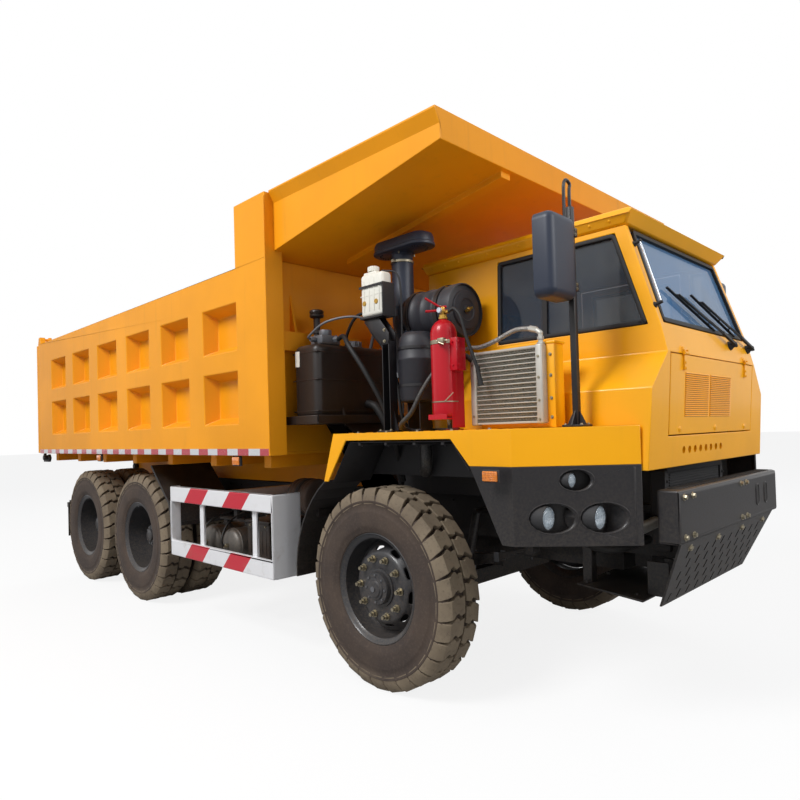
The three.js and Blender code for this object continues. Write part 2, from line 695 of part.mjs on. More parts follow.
function skidPlate() {
  const plate = alongY([[3872, 995.7], [3712, 641], [3699, 641], [3859, 995.7]], -760, 760);
  const outline = alongX([[-760, 996], [760, 996], [642, 641], [-642, 641]], 3500, 4000);
  const slots = [];
  for (let row = 0; row < 3; row += 1) {
    for (let i = 0; i < 8; i += 1) {
      const y = -490 + i * 140;
      const z = 715 + row * 84;
      slots.push(alongX([[y - 32, z - 24], [y - 12, z - 24], [y + 32, z + 24], [y + 12, z + 24]],
        3600, 4000));
    }
  }
  const stay = alongY([[3705, 660], [3716, 655], [3738, RAIL_BOTTOM - GAP],
    [3600, RAIL_BOTTOM - GAP]], RAIL_Y - 70, RAIL_Y - 55);
  return join(cut(common(plate, outline), ...slots), ...onBothSides(stay));
}

// ---- side equipment ----

const GUARD = { outer: 1386, front: 1263, rear: -345, low: 565, high: 1165, bar: 132 };

function sideGuard() {
  const { outer, front, rear, low, high, bar } = GUARD;
  const bars = [low, high - bar].map((z) => block([rear, front], [outer - 40, outer],
    [z, z + bar]));
  const returns = [
    block([front - 12, front], [outer - 244, outer], [low, high]),
    block([rear, rear + 12], [outer - 90, outer], [low, high]),
  ];
  const uprights = [130, 940].flatMap((x) => [
    block([x, x + 60], [outer - 62, outer - 36], [low + 20, RAIL_TOP - 8]),
    block([x, x + 60], [RAIL_Y + GAP, outer - 40], [RAIL_TOP - 88, RAIL_TOP - 8]),
    block([x, x + 60], [RAIL_Y + GAP, RAIL_Y + 30], [930, RAIL_TOP - 8]),
  ]);
  return mirrored(join(...bars, ...returns, ...uprights));
}

function airTanks() {
  const tanks = [60, 400].map((x) => rod('y', 136, -1240, -620, [x, 700], 16));
  const strap = block([40, 420], [-760, -700], [830, 880]);
  const hanger = block([205, 255], [-740, -RAIL_Y - GAP], [860, 920]);
  return join(...tanks, strap, hanger);
}

function muffler() {
  const drum = rod('x', 140, 1014, 1240, [-960, 1105], 16);
  return join(drum, block([1100, 1160], [-840, -RAIL_Y - GAP], [1040, 1100]));
}

function fuelTank() {
  const section = [
    [680, 640], [720, 600], [1250, 600], [1290, 640], [1290, 1010], [1250, 1050], [720, 1050],
    [680, 1010],
  ];
  const tank = alongX(section, 260, 900);
  const hangers = [330, 780].map((x) => block([x, x + 60], [RAIL_Y + GAP, 700], [880, 960]));
  const neck = rod('z', 45, 1040, 1085, [800, 1180], 16);
  return join(tank, ...hangers, neck);
}

function hydraulicTank() {
  const out = 85 - BODY_INNER;
  const tank = alongZ([
    [1372, out + 40], [1412, out], [1612, out], [1652, out + 40], [1652, -560], [1612, -520],
    [1412, -520], [1372, -560],
  ], 1690, 2213);
  const shelf = block([1290, 1664], [out - 40, -500], [1656, 1692]);
  const leg = alongX([[-RAIL_Y - GAP, 900], [-RAIL_Y - GAP, 1140], [-560, 1660], [-760, 1660],
    [-470, 900]], 1400, 1450);
  const breather = rod('z', 24, 2205, 2430, [1450, out + 160], 12);
  const cap = rod('z', 52, 2420, 2478, [1450, out + 160], 16);
  const filler = rod('z', 60, 2205, 2240, [1530, -820], 16);
  return join(tank, shelf, leg, breather, cap, filler);
}

function airCleaner() {
  const drum = rod('x', 165, 2240, 2668, [-880, 2319], 20);
  const face = rod('x', 120, 2660, 2684, [-880, 2319], 16);
  const stack = rod('z', 72, 2230, 2790, [2150, -900], 16);
  const elbow = rod('x', 72, 2130, 2260, [-895, 2310], 12);
  const rain = join(block([2045, 2335], [-1025, -825], [2780, 2860]),
    rod('z', 100, 2780, 2860, [2045, -925], 20), rod('z', 100, 2780, 2860, [2335, -925], 20));
  const canister = rod('z', 124, 1765, 2200, [2390, -1025], 16);
  const foot = block([2330, 2450], [-1085, -965], [DECK_TOP + GAP, 1780]);
  return join(drum, face, stack, elbow, rain, canister, foot);
}

function coolantStand() {
  const post = block([2236, 2300], [-1190, -1126], [DECK_TOP + GAP, 2140]);
  const bracket = alongY([[2236, 2100], [2300, 2100], [2306, 2150], [2200, 2318], [2090, 2318],
    [2090, 2290]], -1180, -1136);
  const bottle = block([2068, 2272], [-1206, -1118], [2310, 2600]);
  const neck = rod('z', 35, 2590, 2640, [2150, -1162], 12);
  return join(post, bracket, bottle, neck);
}

function extinguisher() {
  const [x, y] = [2725, -1160];
  const centre = [x, y];
  const bottle = rod('z', 76, DECK_TOP + 70, 2190, centre, 20);
  const shoulder = rod('z', 50, 2180, 2232, centre, 16);
  const head = rod('z', 22, 2225, 2316, centre, 12);
  const holder = block([x - 20, x + 20], [y + 70, y + 94], [DECK_TOP + GAP, 2120]);
  const foot = block([x - 40, x + 40], [y - 70, y + 94], [DECK_TOP + 55, DECK_TOP + 75]);
  return join(bottle, shoulder, head, holder, foot);
}

function oilCooler() {
  const core = block([2822, 3300], [-1042, -1000], [1615, 2014]);
  const box = block([2850, 3290], [-1002, -905], [DECK_TOP + GAP, 2065]);
  return join(core, box);
}

function mirror() {
  const [x, y] = [3453, -977];
  const post = rod('z', 22, DECK_TOP + GAP, 2715, [x, y], 12);
  const base = block([x - 60, x + 60], [y - 50, y + 50], [DECK_TOP + GAP, DECK_TOP + 12]);
  const housing = block([x - 53, x + 37], [y - 236, y - 28], [2222, 2642]);
  const arms = [2300, 2580].map((z) => rod('y', 13, y - 46, y, [x, z], 8));
  const loop = join(block([x - 9, x + 9], [y - 8, y + 8], [2700, 2846]),
    block([x - 9, x + 9], [y - 58, y + 8], [2830, 2846]),
    block([x - 9, x + 9], [y - 58, y - 42], [2630, 2846]));
  return join(post, base, housing, ...arms, loop);
}

// ---- rear end ----

function midFlaps() {
  const x = MIDDLE_AXLE_X + 690;
  const bar = block([x, x + 40], [-1290, 1290], [780, 820]);
  const riser = block([x, x + 40], [RAIL_Y - 70, RAIL_Y - 10], [790, RAIL_BOTTOM - GAP]);
  const guard = alongY([[x - 400, 1318], [x - 40, 985], [x + 15, 790], [x + 35, 790],
    [x - 18, 1000], [x - 384, 1334]], 690, 1290);
  return join(bar, ...onBothSides(riser), ...onBothSides(guard));
}

function rearBar() {
  const x = REAR_AXLE_X - 740;
  const bar = block([x, x + 60], [-1290, 1290], [780, 840]);
  const hanger = block([x, x + 60], [RAIL_Y - 70, RAIL_Y - 5], [800, RAIL_BOTTOM - GAP]);
  const flap = block([x + 26, x + 34], [690, 1290], [430, 800]);
  const lamp = block([x - 20, x + 5], [960, 1260], [760, 860]);
  return join(bar, ...onBothSides(hanger), ...onBothSides(flap), ...onBothSides(lamp));
}

// ---- dump body ----

function bodyFloor() {
  const half = BODY_INNER - GAP;
  const plate = block([BODY_REAR, WALL_FRONT - GAP], [-half, half], [BODY_BOTTOM, FLOOR_TOP]);
  const first = BODY_REAR + 150;
  const pitch = (WALL_REAR - 155 - first) / 6;
  const bearers = Array.from({ length: 7 }, (_, i) => first + i * pitch).map((x) => (
    block([x, x + 90], [-half, half], [1352, BODY_BOTTOM + 2])));
  const sill = alongY([
    ...arc([HINGE_X, HINGE_Z], 84, 180, 270, 4), [1180, HINGE_Z - 84], [1180, 1440],
    [HINGE_X - 84, 1440],
  ], RAIL_Y - 64, RAIL_Y + 52);
  const bore = boreFor('y', HINGE_PIN_R, RAIL_Y - 100, RAIL_Y + 100, [HINGE_X, HINGE_Z]);
  const beams = join(plate, ...bearers, ...onBothSides(sill));
  return cut(beams, ...onBothSides(bore));
}

// A recess with equal slopes on all four sides, cut in from the outer face.
function bay(x, low, high) {
  const y = BODY_HALF;
  const floor = y - BAY_DEPTH;
  const w = BAY_WIDTH / 2;
  const s = BAY_SLOPE;
  const plan = alongZ([[x - w, y + 1], [x + w, y + 1], [x + w, y], [x + w - s, floor],
    [x - w + s, floor], [x - w, y]], low, high);
  const section = alongX([[y + 1, low], [y + 1, high], [y, high], [floor, high - s],
    [floor, low + s], [y, low]], x - w, x + w);
  return common(plan, section);
}

function bodySide() {
  const inner = BODY_INNER;
  const wall = block([BODY_REAR, POST_FRONT], [inner, BODY_HALF], [BODY_BOTTOM, BODY_TOP]);
  const post = block([POST_REAR, POST_FRONT], [inner, BODY_HALF], [BODY_TOP - 2, POST_TOP]);
  const bays = [];
  for (let i = 0; i < BAY_COUNT; i += 1) {
    const x = BAY_FRONT_X - i * BAY_PITCH;
    bays.push(bay(x, 2215, 2565), bay(x, 1675, 2065));
  }
  const ear = alongY([[BODY_REAR, BODY_TOP - 2], [GATE_PIN_X + 60, BODY_TOP - 2],
    [GATE_PIN_X + 26, GATE_PIN_Z + 28], [GATE_PIN_X - 26, GATE_PIN_Z + 28]],
    BODY_HALF - 60, BODY_HALF);
  const pin = rod('y', GATE_PIN_R, inner + 6, BODY_HALF - 20, [GATE_PIN_X, GATE_PIN_Z], 12);
  return mirrored(join(cut(join(wall, post), ...bays), ear, pin));
}

function canopyZ(x) {
  return CANOPY_LIP_Z - (CANOPY_FRONT - x) * CANOPY_SLOPE;
}

function frontWall() {
  const half = BODY_INNER - GAP;
  const top = canopyZ(WALL_REAR) - GAP * 2;
  const wall = block([WALL_REAR, WALL_FRONT], [-half, half], [FLOOR_TOP + GAP, top]);
  const beam = block([WALL_FRONT - 2, WALL_FRONT + 66], [-half, half], [2189, 2327]);
  const ribs = [-440, 440].map((y) => block([WALL_FRONT - 2, WALL_FRONT + 60],
    [y - 45, y + 45], [FLOOR_TOP + 10, 2300]));
  const gusset = alongY([[WALL_FRONT - 2, 2320], [WALL_FRONT + 62, 2320], [WALL_FRONT - 2, 2618]],
    half - 155, half - 135);
  const ear = alongY([[WALL_FRONT - 2, 2120], [1750, 2230], [1790, 2300], [1750, 2370],
    [WALL_FRONT - 2, 2480]], 110, 128);
  return join(wall, beam, ...ribs, ...onBothSides(gusset), ...onBothSides(ear));
}

function canopy() {
  const z = canopyZ;
  const start = WALL_REAR;
  const half = BODY_INNER - GAP;
  const wall = CANOPY_WALL;
  const plateLine = (from, y) => alongY([[from, z(from)], [CANOPY_FRONT, z(CANOPY_FRONT)],
    [CANOPY_FRONT, z(CANOPY_FRONT) + 12], [from, z(from) + 12]], -y, y);
  const narrow = plateLine(start, half);
  const wide = plateLine(POST_FRONT + GAP, wall);
  const wing = alongY([[POST_FRONT + GAP, z(POST_FRONT)], [CANOPY_FRONT, z(CANOPY_FRONT)],
    [CANOPY_FRONT, 3200], [POST_FRONT + GAP, 3200]], wall - 12, wall);
  const lip = alongX([[wall - 12, 3195], [wall, 3195], [CANOPY_HALF, CANOPY_TOP - 12],
    [CANOPY_HALF, CANOPY_TOP], [CANOPY_HALF - 16, CANOPY_TOP]], POST_FRONT + GAP, CANOPY_FRONT);
  const nose = alongX([[-wall, CANOPY_LIP_Z], [wall, CANOPY_LIP_Z], [wall, 3195],
    [CANOPY_HALF, CANOPY_TOP - 12], [CANOPY_HALF, CANOPY_TOP], [-CANOPY_HALF, CANOPY_TOP],
    [-CANOPY_HALF, CANOPY_TOP - 12], [-wall, 3195]], CANOPY_FRONT - 12, CANOPY_FRONT);
  const hat = alongY([[1500, z(1500) - 38], [2930, z(2930) - 38], [2930, z(2930) + 4],
    [1500, z(1500) + 4]], 745, 835);
  return join(narrow, wide, ...onBothSides(wing), ...onBothSides(lip), nose, ...onBothSides(hat));
}

function tailgate() {
  const front = BODY_REAR - 6;
  const rear = front - GATE_THICK;
  const panel = block([rear, front], [-BODY_HALF, BODY_HALF], [1452, 2800]);
  const pitch = (BODY_HALF - 295) / 2;
  const ribs = [-2, -1, 0, 1, 2].map((i) => i * pitch).map((y) => block([rear - GATE_RIB, rear + 2],
    [y - 55, y + 55], [1500, 2760]));
  const arm = alongY([
    [rear, 2780], [front, 2780], [front, 2830], [GATE_PIN_X + 34, GATE_PIN_Z - 30],
    [GATE_PIN_X + 34, GATE_PIN_Z + 30], [GATE_PIN_X - 20, GATE_PIN_Z + 34], [rear, 2850],
  ], GATE_ARM_Y, GATE_ARM_Y + 32);
  const bore = boreFor('y', GATE_PIN_R, GATE_ARM_Y - 40, GATE_ARM_Y + 70,
    [GATE_PIN_X, GATE_PIN_Z]);
  return join(panel, ...ribs, ...onBothSides(cut(arm, bore)));
}

// ---- hoist ----

function hoistStage(index) {
  const outer = HOIST_RADII[index];
  const low = HOIST_Z + [38, 60, 64, 68][index];
  const high = HOIST_Z + [1374, 1382, 1389, 1440][index];
  const centre = [HOIST_X, 0];
  if (index === 3) {
    const head = rod('y', 62, -62, 62, [HOIST_X, HOIST_Z + HOIST_LENGTH], 20);
    return join(rod('z', outer, low, high, centre, 24), head);
  }
  const tube = rod('z', outer, low, high, centre, 24);
  const bore = (from) => rod('z', HOIST_RADII[index + 1] + GAP, from, high + 5, centre, 24);
  if (index > 0) return cut(tube, bore(low - 5));
  const eye = rod('y', 80, -110, 110, [HOIST_X, HOIST_Z], 24);
  const pinHole = boreFor('y', HINGE_PIN_R, -200, 200, [HOIST_X, HOIST_Z]);
  return cut(join(tube, eye), bore(HOIST_Z + 54), pinHole);
}

// ---- assembly ----

add('chassis_frame', frame(), paint.chassis);
add('powertrain', powertrain(), paint.chassis);
add('front_axle', frontAxle(), paint.chassis);
add('middle_axle', drivenAxle(MIDDLE_AXLE_X), paint.chassis);
add('rear_axle', drivenAxle(REAR_AXLE_X), paint.chassis);
addPair('front_spring', mirrored(frontSpring()), paint.chassis);
add('rear_suspension', rearSuspension(), paint.chassis);
add('knuckle_right', knuckle(-1), paint.chassis);
add('knuckle_left', knuckle(1), paint.chassis);
add('tie_rod', tieRod(), paint.chassis);
addWheels();
add('cab_shell', cabShell(), paint.yellow);
add('cab_roof', cabRoof(), paint.yellow);
add('windscreen', pane(windscreenHole(GAP)), paint.glass);
add('side_window_right', pane(rightWindowHole(GAP)), paint.glass);
add('quarter_window_left', pane(quarterWindowHole(GAP)), paint.glass);
add('door_left', door(), paint.yellow);
add('door_window_left', doorPane(), paint.glass);
add('front_panel', frontPanel(), paint.yellow);
add('cab_interior', cabInterior(), paint.trim);
addPair('deck', deck(), paint.yellow);
add('lamp_panel_right', lampPanel(), paint.black);
add('lamp_panel_left', join(mirrored(lampPanel()), ladder()), paint.black);
addPair('mudguard', mudguard(), paint.black);
add('bumper', bumper(), paint.black);
add('skid_plate', skidPlate(), paint.black);
addPair('side_guard', sideGuard(), paint.white);
add('air_tanks', airTanks(), paint.chassis);
add('muffler', muffler(), paint.chassis);
add('fuel_tank', fuelTank(), paint.black);
add('hydraulic_tank', hydraulicTank(), paint.black);
add('air_cleaner', airCleaner(), paint.navy);
add('coolant_stand', coolantStand(), paint.white);
add('fire_extinguisher', extinguisher(), paint.red);
add('oil_cooler', oilCooler(), paint.alloy);
addPair('mirror', mirror(), paint.navy);
add('mid_flaps', midFlaps(), paint.black);
add('rear_bar', rearBar(), paint.black);
add('body_floor', bodyFloor(), paint.body);
addPair('body_side', bodySide(), paint.body);
add('body_front_wall', frontWall(), paint.body);
add('canopy', canopy(), paint.body);
add('tailgate', tailgate(), paint.body);
['hoist_barrel', 'hoist_stage_1', 'hoist_stage_2', 'hoist_rod'].forEach((name, i) => {
  add(name, hoistStage(i), i ? paint.steel : paint.black);
});

export default truck;
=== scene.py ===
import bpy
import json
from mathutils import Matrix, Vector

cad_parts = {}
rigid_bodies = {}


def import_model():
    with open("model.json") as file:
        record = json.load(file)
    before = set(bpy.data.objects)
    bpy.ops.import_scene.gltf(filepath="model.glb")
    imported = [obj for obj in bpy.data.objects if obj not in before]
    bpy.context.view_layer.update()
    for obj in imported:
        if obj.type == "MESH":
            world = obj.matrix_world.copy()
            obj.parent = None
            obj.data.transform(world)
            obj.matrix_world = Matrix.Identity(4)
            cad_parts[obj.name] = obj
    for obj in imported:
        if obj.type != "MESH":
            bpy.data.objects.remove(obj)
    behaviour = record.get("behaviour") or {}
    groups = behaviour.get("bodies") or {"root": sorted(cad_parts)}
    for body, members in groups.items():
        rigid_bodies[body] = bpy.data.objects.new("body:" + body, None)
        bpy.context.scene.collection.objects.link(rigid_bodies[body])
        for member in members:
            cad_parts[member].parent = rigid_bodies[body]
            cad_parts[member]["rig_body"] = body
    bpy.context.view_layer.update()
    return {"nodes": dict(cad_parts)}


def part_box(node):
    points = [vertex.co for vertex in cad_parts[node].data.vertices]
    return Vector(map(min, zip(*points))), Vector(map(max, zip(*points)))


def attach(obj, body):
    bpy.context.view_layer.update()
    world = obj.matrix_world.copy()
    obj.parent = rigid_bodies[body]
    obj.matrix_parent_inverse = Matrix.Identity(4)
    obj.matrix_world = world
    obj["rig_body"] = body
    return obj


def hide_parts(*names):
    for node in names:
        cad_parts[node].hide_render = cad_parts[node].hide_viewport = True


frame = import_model()

import json
import math
import bmesh
import bpy
from mathutils import Matrix, Vector
from mathutils.bvhtree import BVHTree

scene = bpy.context.scene
nodes = frame["nodes"]


def low(node):
    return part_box(node)[0]


def high(node):
    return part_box(node)[1]


def centre(node):
    return (low(node) + high(node)) / 2


# One output of a node; arithmetic on it adds the nodes that work it out.
class Value:
    def __init__(self, graph, socket):
        self.graph = graph
        self.socket = socket

    def math(self, operation, *values):
        return self.graph.node("ShaderNodeMath", {"operation": operation}, values)

    def __add__(self, other):
        return self.math("ADD", self, other)

    def __radd__(self, other):
        return self.math("ADD", other, self)

    def __sub__(self, other):
        return self.math("SUBTRACT", self, other)

    def __rsub__(self, other):
        return self.math("SUBTRACT", other, self)

    def __mul__(self, other):
        return self.math("MULTIPLY", self, other)

    def __rmul__(self, other):
        return self.math("MULTIPLY", other, self)

    def above(self, start, end):  # 0 below start, 1 above end, smooth between
        inputs = {"Value": self, "From Min": start, "From Max": end}
        settings = {"interpolation_type": "SMOOTHSTEP"}
        return self.graph.node("ShaderNodeMapRange", settings, inputs)

    def wave(self, period):  # saw-tooth from 0 to 1
        return self.math("FRACT", self * (1 / period))

    def larger(self, other):
        return self.math("MAXIMUM", self, other)


class Graph:
    def __init__(self, owner, shader):
        owner.use_nodes = True
        self.tree = owner.node_tree
        self.shader = self.tree.nodes[shader]

    def node(self, kind, settings=None, inputs=(), out=0):
        made = self.tree.nodes.new(kind)
        for label, value in (settings or {}).items():
            setattr(made, label, value)
        pairs = inputs.items() if isinstance(inputs, dict) else enumerate(inputs)
        for label, value in pairs:
            self.feed(made.inputs[label], value)
        return Value(self, made.outputs[out])

    def feed(self, socket, value):
        if isinstance(value, Value):
            self.tree.links.new(value.socket, socket)
        else:
            socket.default_value = value

    def show(self, label, value):
        self.feed(self.shader.inputs[label], value)
        return self

    # The final surface: the shader, and glow where the factor is 1.
    def cover(self, output, factor, glow):
        plain = Value(self, self.shader.outputs[0])
        mixed = self.node("ShaderNodeMixShader", {}, [factor, plain, glow])
        self.feed(self.tree.nodes[output].inputs["Surface"], mixed)


class Finish(Graph):
    def __init__(self, name, slot, **fixed):
        self.material = bpy.data.materials.new(name)
        super().__init__(self.material, "Principled BSDF")
        self.slot = slot
        for label, value in fixed.items():
            self.show(label.replace("_", " "), value)
        self.place = self.node("ShaderNodeTexCoord", out="Object")
        self.split = {}

    def axis(self, letter):
        if letter not in self.split:
            self.split[letter] = self.node("ShaderNodeSeparateXYZ", {}, [self.place],
                                           "XYZ".index(letter))
        return self.split[letter]

    def noise(self, scale, detail=3.0, roughness=0.55, stretch=None):
        place = self.place
        if stretch:
            place = self.node("ShaderNodeMapping", {}, {"Vector": place, "Scale": stretch})
        return self.node("ShaderNodeTexNoise", {}, {
            "Vector": place, "Scale": scale, "Detail": detail, "Roughness": roughness})

    def facing(self):  # 1 on faces that look up
        normal = self.node("ShaderNodeNewGeometry", out="Normal")
        return self.node("ShaderNodeSeparateXYZ", {}, [normal], 2).above(0.35, 0.95)

    def blend(self, factor, first, second):
        settings = {"data_type": "RGBA", "clamp_factor": True}
        return self.node("ShaderNodeMix", settings, {0: factor, 6: first, 7: second}, 2)

    def bump(self, height, distance, strength=1.0):
        inputs = {"Height": height, "Distance": distance, "Strength": strength}
        return self.show("Normal", self.node("ShaderNodeBump", {}, inputs))


def tone(code, gain=1.0):  # sRGB hex to linear colour
    parts = [int(code[i:i + 2], 16) / 255 for i in (1, 3, 5)]
    flat = [p / 12.92 if p <= 0.04045 else ((p + 0.055) / 1.055) ** 2.4 for p in parts]
    return (*[min(1.0, p * gain) for p in flat], 1.0)


finishes = {}


# A painted or moulded surface: slow fade, fine speckle, running streaks, dust low down.
def coated(name, slot, look):
    finish = Finish(name, slot, Metallic=look.get("metallic", 0.0),
                    Coat_Weight=look.get("coat", 0.0), Coat_Roughness=0.12,
                    Specular_IOR_Level=look.get("gloss", 0.4))
    base, rough = look["color"], look["rough"]
    fade = finish.noise(1.1, 3.0)
    speck = finish.noise(70.0, 4.0, 0.65)
    streak = finish.noise(1.0, 4.0, 0.6, stretch=(14.0, 14.0, 0.9)).above(0.55, 0.78)
    color = finish.blend(fade.above(0.3, 0.7), tone(base, 0.93), tone(base, 1.06))
    color = finish.blend(streak * look.get("streak", 0.1), color, tone(look["dirt"], 0.55))
    shelf = finish.facing() * finish.noise(6.0, 4.0).above(0.35, 0.75) * look.get("settled", 0.25)
    skirt = (1.0 - finish.axis("Z").above(0.25, look.get("dustTop", 1.7))) * speck.above(0.3, 0.75)
    dust = shelf.larger(skirt * look.get("dust", 0.35))
    color = finish.blend(dust, color, tone(look["dirt"]))
    chips = finish.noise(26.0, 5.0, 0.7).above(0.72, 0.75)
    color = finish.blend(chips * look.get("chips", 0.15), color, tone("#3a2f26"))
    finish.show("Base Color", color)
    finish.show("Roughness", rough + dust * 0.4 + (speck - 0.5) * 0.12)
    height = finish.noise(look.get("peelScale", 220.0), 2.0) * look.get("peel", 0.3)
    finish.bump(height + fade * look.get("wave", 4.0) + chips * -0.3, 0.0006, 0.6)
    finishes[name] = finish


looks = {
    "bodyPaint": ("orange_paint", {"color": "#ec9a0c", "rough": 0.5, "coat": 0.08, "gloss": 0.25,
                                   "dirt": "#a87b3c", "dust": 0.3, "dustTop": 1.9}),
    "cabPaint": ("cab_paint", {"color": "#f8ac06", "rough": 0.38, "coat": 0.18, "gloss": 0.3,
                               "dirt": "#b08a4a", "dust": 0.12, "streak": 0.05, "chips": 0.05}),
    "blackPaint": ("black_paint", {"color": "#19171a", "rough": 0.45, "coat": 0.15,
                                   "dirt": "#6e6355", "dust": 0.35}),
    "blackTank": ("black_paint", {"color": "#231d1b", "rough": 0.4, "dirt": "#5d4a38",
                                  "dust": 0.4, "dustTop": 2.4, "streak": 0.3, "settled": 0.5}),
    "chassisPaint": ("chassis_paint", {"color": "#262527", "rough": 0.65, "dirt": "#6b5f50",
                                       "dust": 0.55, "dustTop": 1.3, "chips": 0.2}),
    "navyPlastic": ("navy_plastic", {"color": "#262d3d", "rough": 0.42, "dirt": "#6a6a68",
                                     "dust": 0.1, "peelScale": 420.0, "peel": 0.8}),
    "filterPaint": ("navy_plastic", {"color": "#2a2a30", "rough": 0.5, "dirt": "#6a6158",
                                     "dust": 0.25, "dustTop": 2.4, "settled": 0.4}),
    "redPaint": ("red_paint", {"color": "#b8061c", "rough": 0.3, "coat": 0.2, "gloss": 0.3,
                               "dirt": "#7c4a3e", "dust": 0.1, "chips": 0.05, "wave": 1.0}),
    "whiteTank": ("white_paint", {"color": "#e9e7dc", "rough": 0.38, "dirt": "#b9ac7c",
                                  "dust": 0.1, "wave": 1.0, "peel": 0.1}),
    "rimPaint": ("rim_paint", {"color": "#2b2c30", "rough": 0.38, "coat": 0.2,
                               "dirt": "#6f6253", "dust": 0.4, "dustTop": 1.2}),
    "greyPaint": ("rim_paint", {"color": "#63656a", "rough": 0.45, "metallic": 0.3,
                                "dirt": "#7c6f5e", "dust": 0.3}),
    "zinc": ("hoist_chrome", {"color": "#9c9480", "rough": 0.4, "metallic": 0.9,
                              "dirt": "#7a6446", "dust": 0.2, "peel": 0.1}),
    "chrome": ("hoist_chrome", {"color": "#c9ccd0", "rough": 0.12, "metallic": 1.0,
                                "dirt": "#8a8278", "dust": 0.05, "peel": 0.0, "wave": 0.2}),
    "brass": ("hoist_chrome", {"color": "#c39a4a", "rough": 0.3, "metallic": 0.9,
                               "dirt": "#6f5326", "dust": 0.1}),
    "aluminium": ("bare_aluminium", {"color": "#b9b6ae", "rough": 0.48, "metallic": 0.4,
                                     "dirt": "#8d8373", "dust": 0.25, "dustTop": 2.1}),
    "tankSteel": ("chassis_paint", {"color": "#55524f", "rough": 0.42, "metallic": 0.35,
                                    "dirt": "#8a7a66", "dust": 0.6, "dustTop": 1.2}),
    "heatedSteel": ("chassis_paint", {"color": "#4c4039", "rough": 0.6, "metallic": 0.4,
                                      "dirt": "#7a5334", "dust": 0.3, "streak": 0.4}),
    # the fins' aluminium is lighter than the headers' to make up for the shade between the fins:
    # painted light
    "finMetal": ("bare_aluminium", {"color": "#c2beb3", "rough": 0.55, "metallic": 0.2,
                                    "dirt": "#6d6252", "dust": 0.3, "dustTop": 2.1}),
    "rubber": ("trim_plastic", {"color": "#171617", "rough": 0.62, "dirt": "#5c5347",
                                "dust": 0.25, "peelScale": 600.0}),
    "trim": ("trim_plastic", {"color": "#2c2c2e", "rough": 0.7, "dirt": "#5a5247",
                              "dust": 0.15, "peelScale": 500.0, "peel": 0.9}),
    "mirrorFace": ("hoist_chrome", {"color": "#dfe3e6", "rough": 0.03, "metallic": 1.0,
                                    "dirt": "#8a8278", "dust": 0.03, "peel": 0.0, "wave": 0.0}),
}
for name, (slot, look) in looks.items():
    coated(name, slot, look)


def tyreFinish():
    finish = Finish("tyreRubber", "tyre_rubber")
    speck = finish.noise(60.0, 5.0, 0.7)
    cloud = finish.noise(3.2, 4.0)
    scuff = finish.noise(1.0, 4.0, 0.6, stretch=(6.0, 24.0, 6.0)).above(0.5, 0.75)
    color = finish.blend(cloud.above(0.3, 0.7), tone("#352b26"), tone("#463930"))
    color = finish.blend(speck.above(0.45, 0.72) * 0.5, color, tone("#5d4f44"))
    color = finish.blend(scuff * 0.35, color, tone("#2a221f"))
    ground = 1.0 - finish.axis("Z").above(0.0, 0.16)
    color = finish.blend(ground * cloud.above(0.3, 0.6) * 0.5, color, tone("#8a7b68"))
    finish.show("Base Color", color).show("Roughness", 0.82 + (speck - 0.5) * 0.2)
    finish.bump(speck * 0.6 + scuff * 0.4, 0.0012, 0.8)
    finishes["tyreRubber"] = finish


def treadFinish():
    finish = Finish("treadRubber", "tyre_rubber")
    speck = finish.noise(48.0, 5.0, 0.7)
    cloud = finish.noise(4.0, 4.0)
    color = finish.blend(cloud.above(0.3, 0.7), tone("#6a5d4d"), tone("#837561"))
    color = finish.blend(speck.above(0.5, 0.75) * 0.55, color, tone("#453b33"))
    finish.show("Base Color", color).show("Roughness", 0.9 - speck * 0.1)
    finish.bump(speck, 0.0015, 0.8)
    finishes["treadRubber"] = finish


# Red bands across white guard bars, leaning forwards as they rise.
guardStripe = {"lean": 0.98, "bands": [(-0.083, 0.305), (0.556, 0.292)], "bar": 0.137,
               "outside": 1.38}


def guardFinish(barLow, barHigh):
    finish = Finish("guardPaint", "white_paint", Coat_Weight=0.3, Coat_Roughness=0.15)
    x, z = finish.axis("X"), finish.axis("Z")
    lean = guardStripe["lean"]
    side = finish.axis("Y")
    outside = side.math("GREATER_THAN", side.math("ABSOLUTE", side),
                        guardStripe["outside"])
    red = None
    for foot in (barLow, barHigh):
        bar = z.math("GREATER_THAN", z, foot - 0.004)
        inBar = bar * z.math("LESS_THAN", z, foot + guardStripe["bar"])
        along = x - (z - foot) * lean
        for start, width in guardStripe["bands"]:
            after = along.math("GREATER_THAN", along, start)
            before = along.math("LESS_THAN", along, start + width)
            band = inBar * after * before * outside
            red = band if red is None else red.larger(band)
    speck = finish.noise(60.0, 4.0, 0.65)
    splash = finish.noise(7.0, 5.0, 0.7).above(0.52, 0.8) * (1.0 - z.above(0.5, 1.3))
    color = finish.blend(red, tone("#e6e6e8"), tone("#c4102c"))
    color = finish.blend(splash * 0.45, color, tone("#95866f"))
    color = finish.blend(speck.above(0.6, 0.8) * 0.12, color, tone("#7d7468"))
    finish.show("Base Color", color).show("Roughness", 0.34 + splash * 0.4)
    finish.bump(finish.noise(240.0) * 0.3 + red * 0.4, 0.0005, 0.5)
    finishes["guardPaint"] = finish


tape = {"pitch": 0.2965, "start": 0.06}


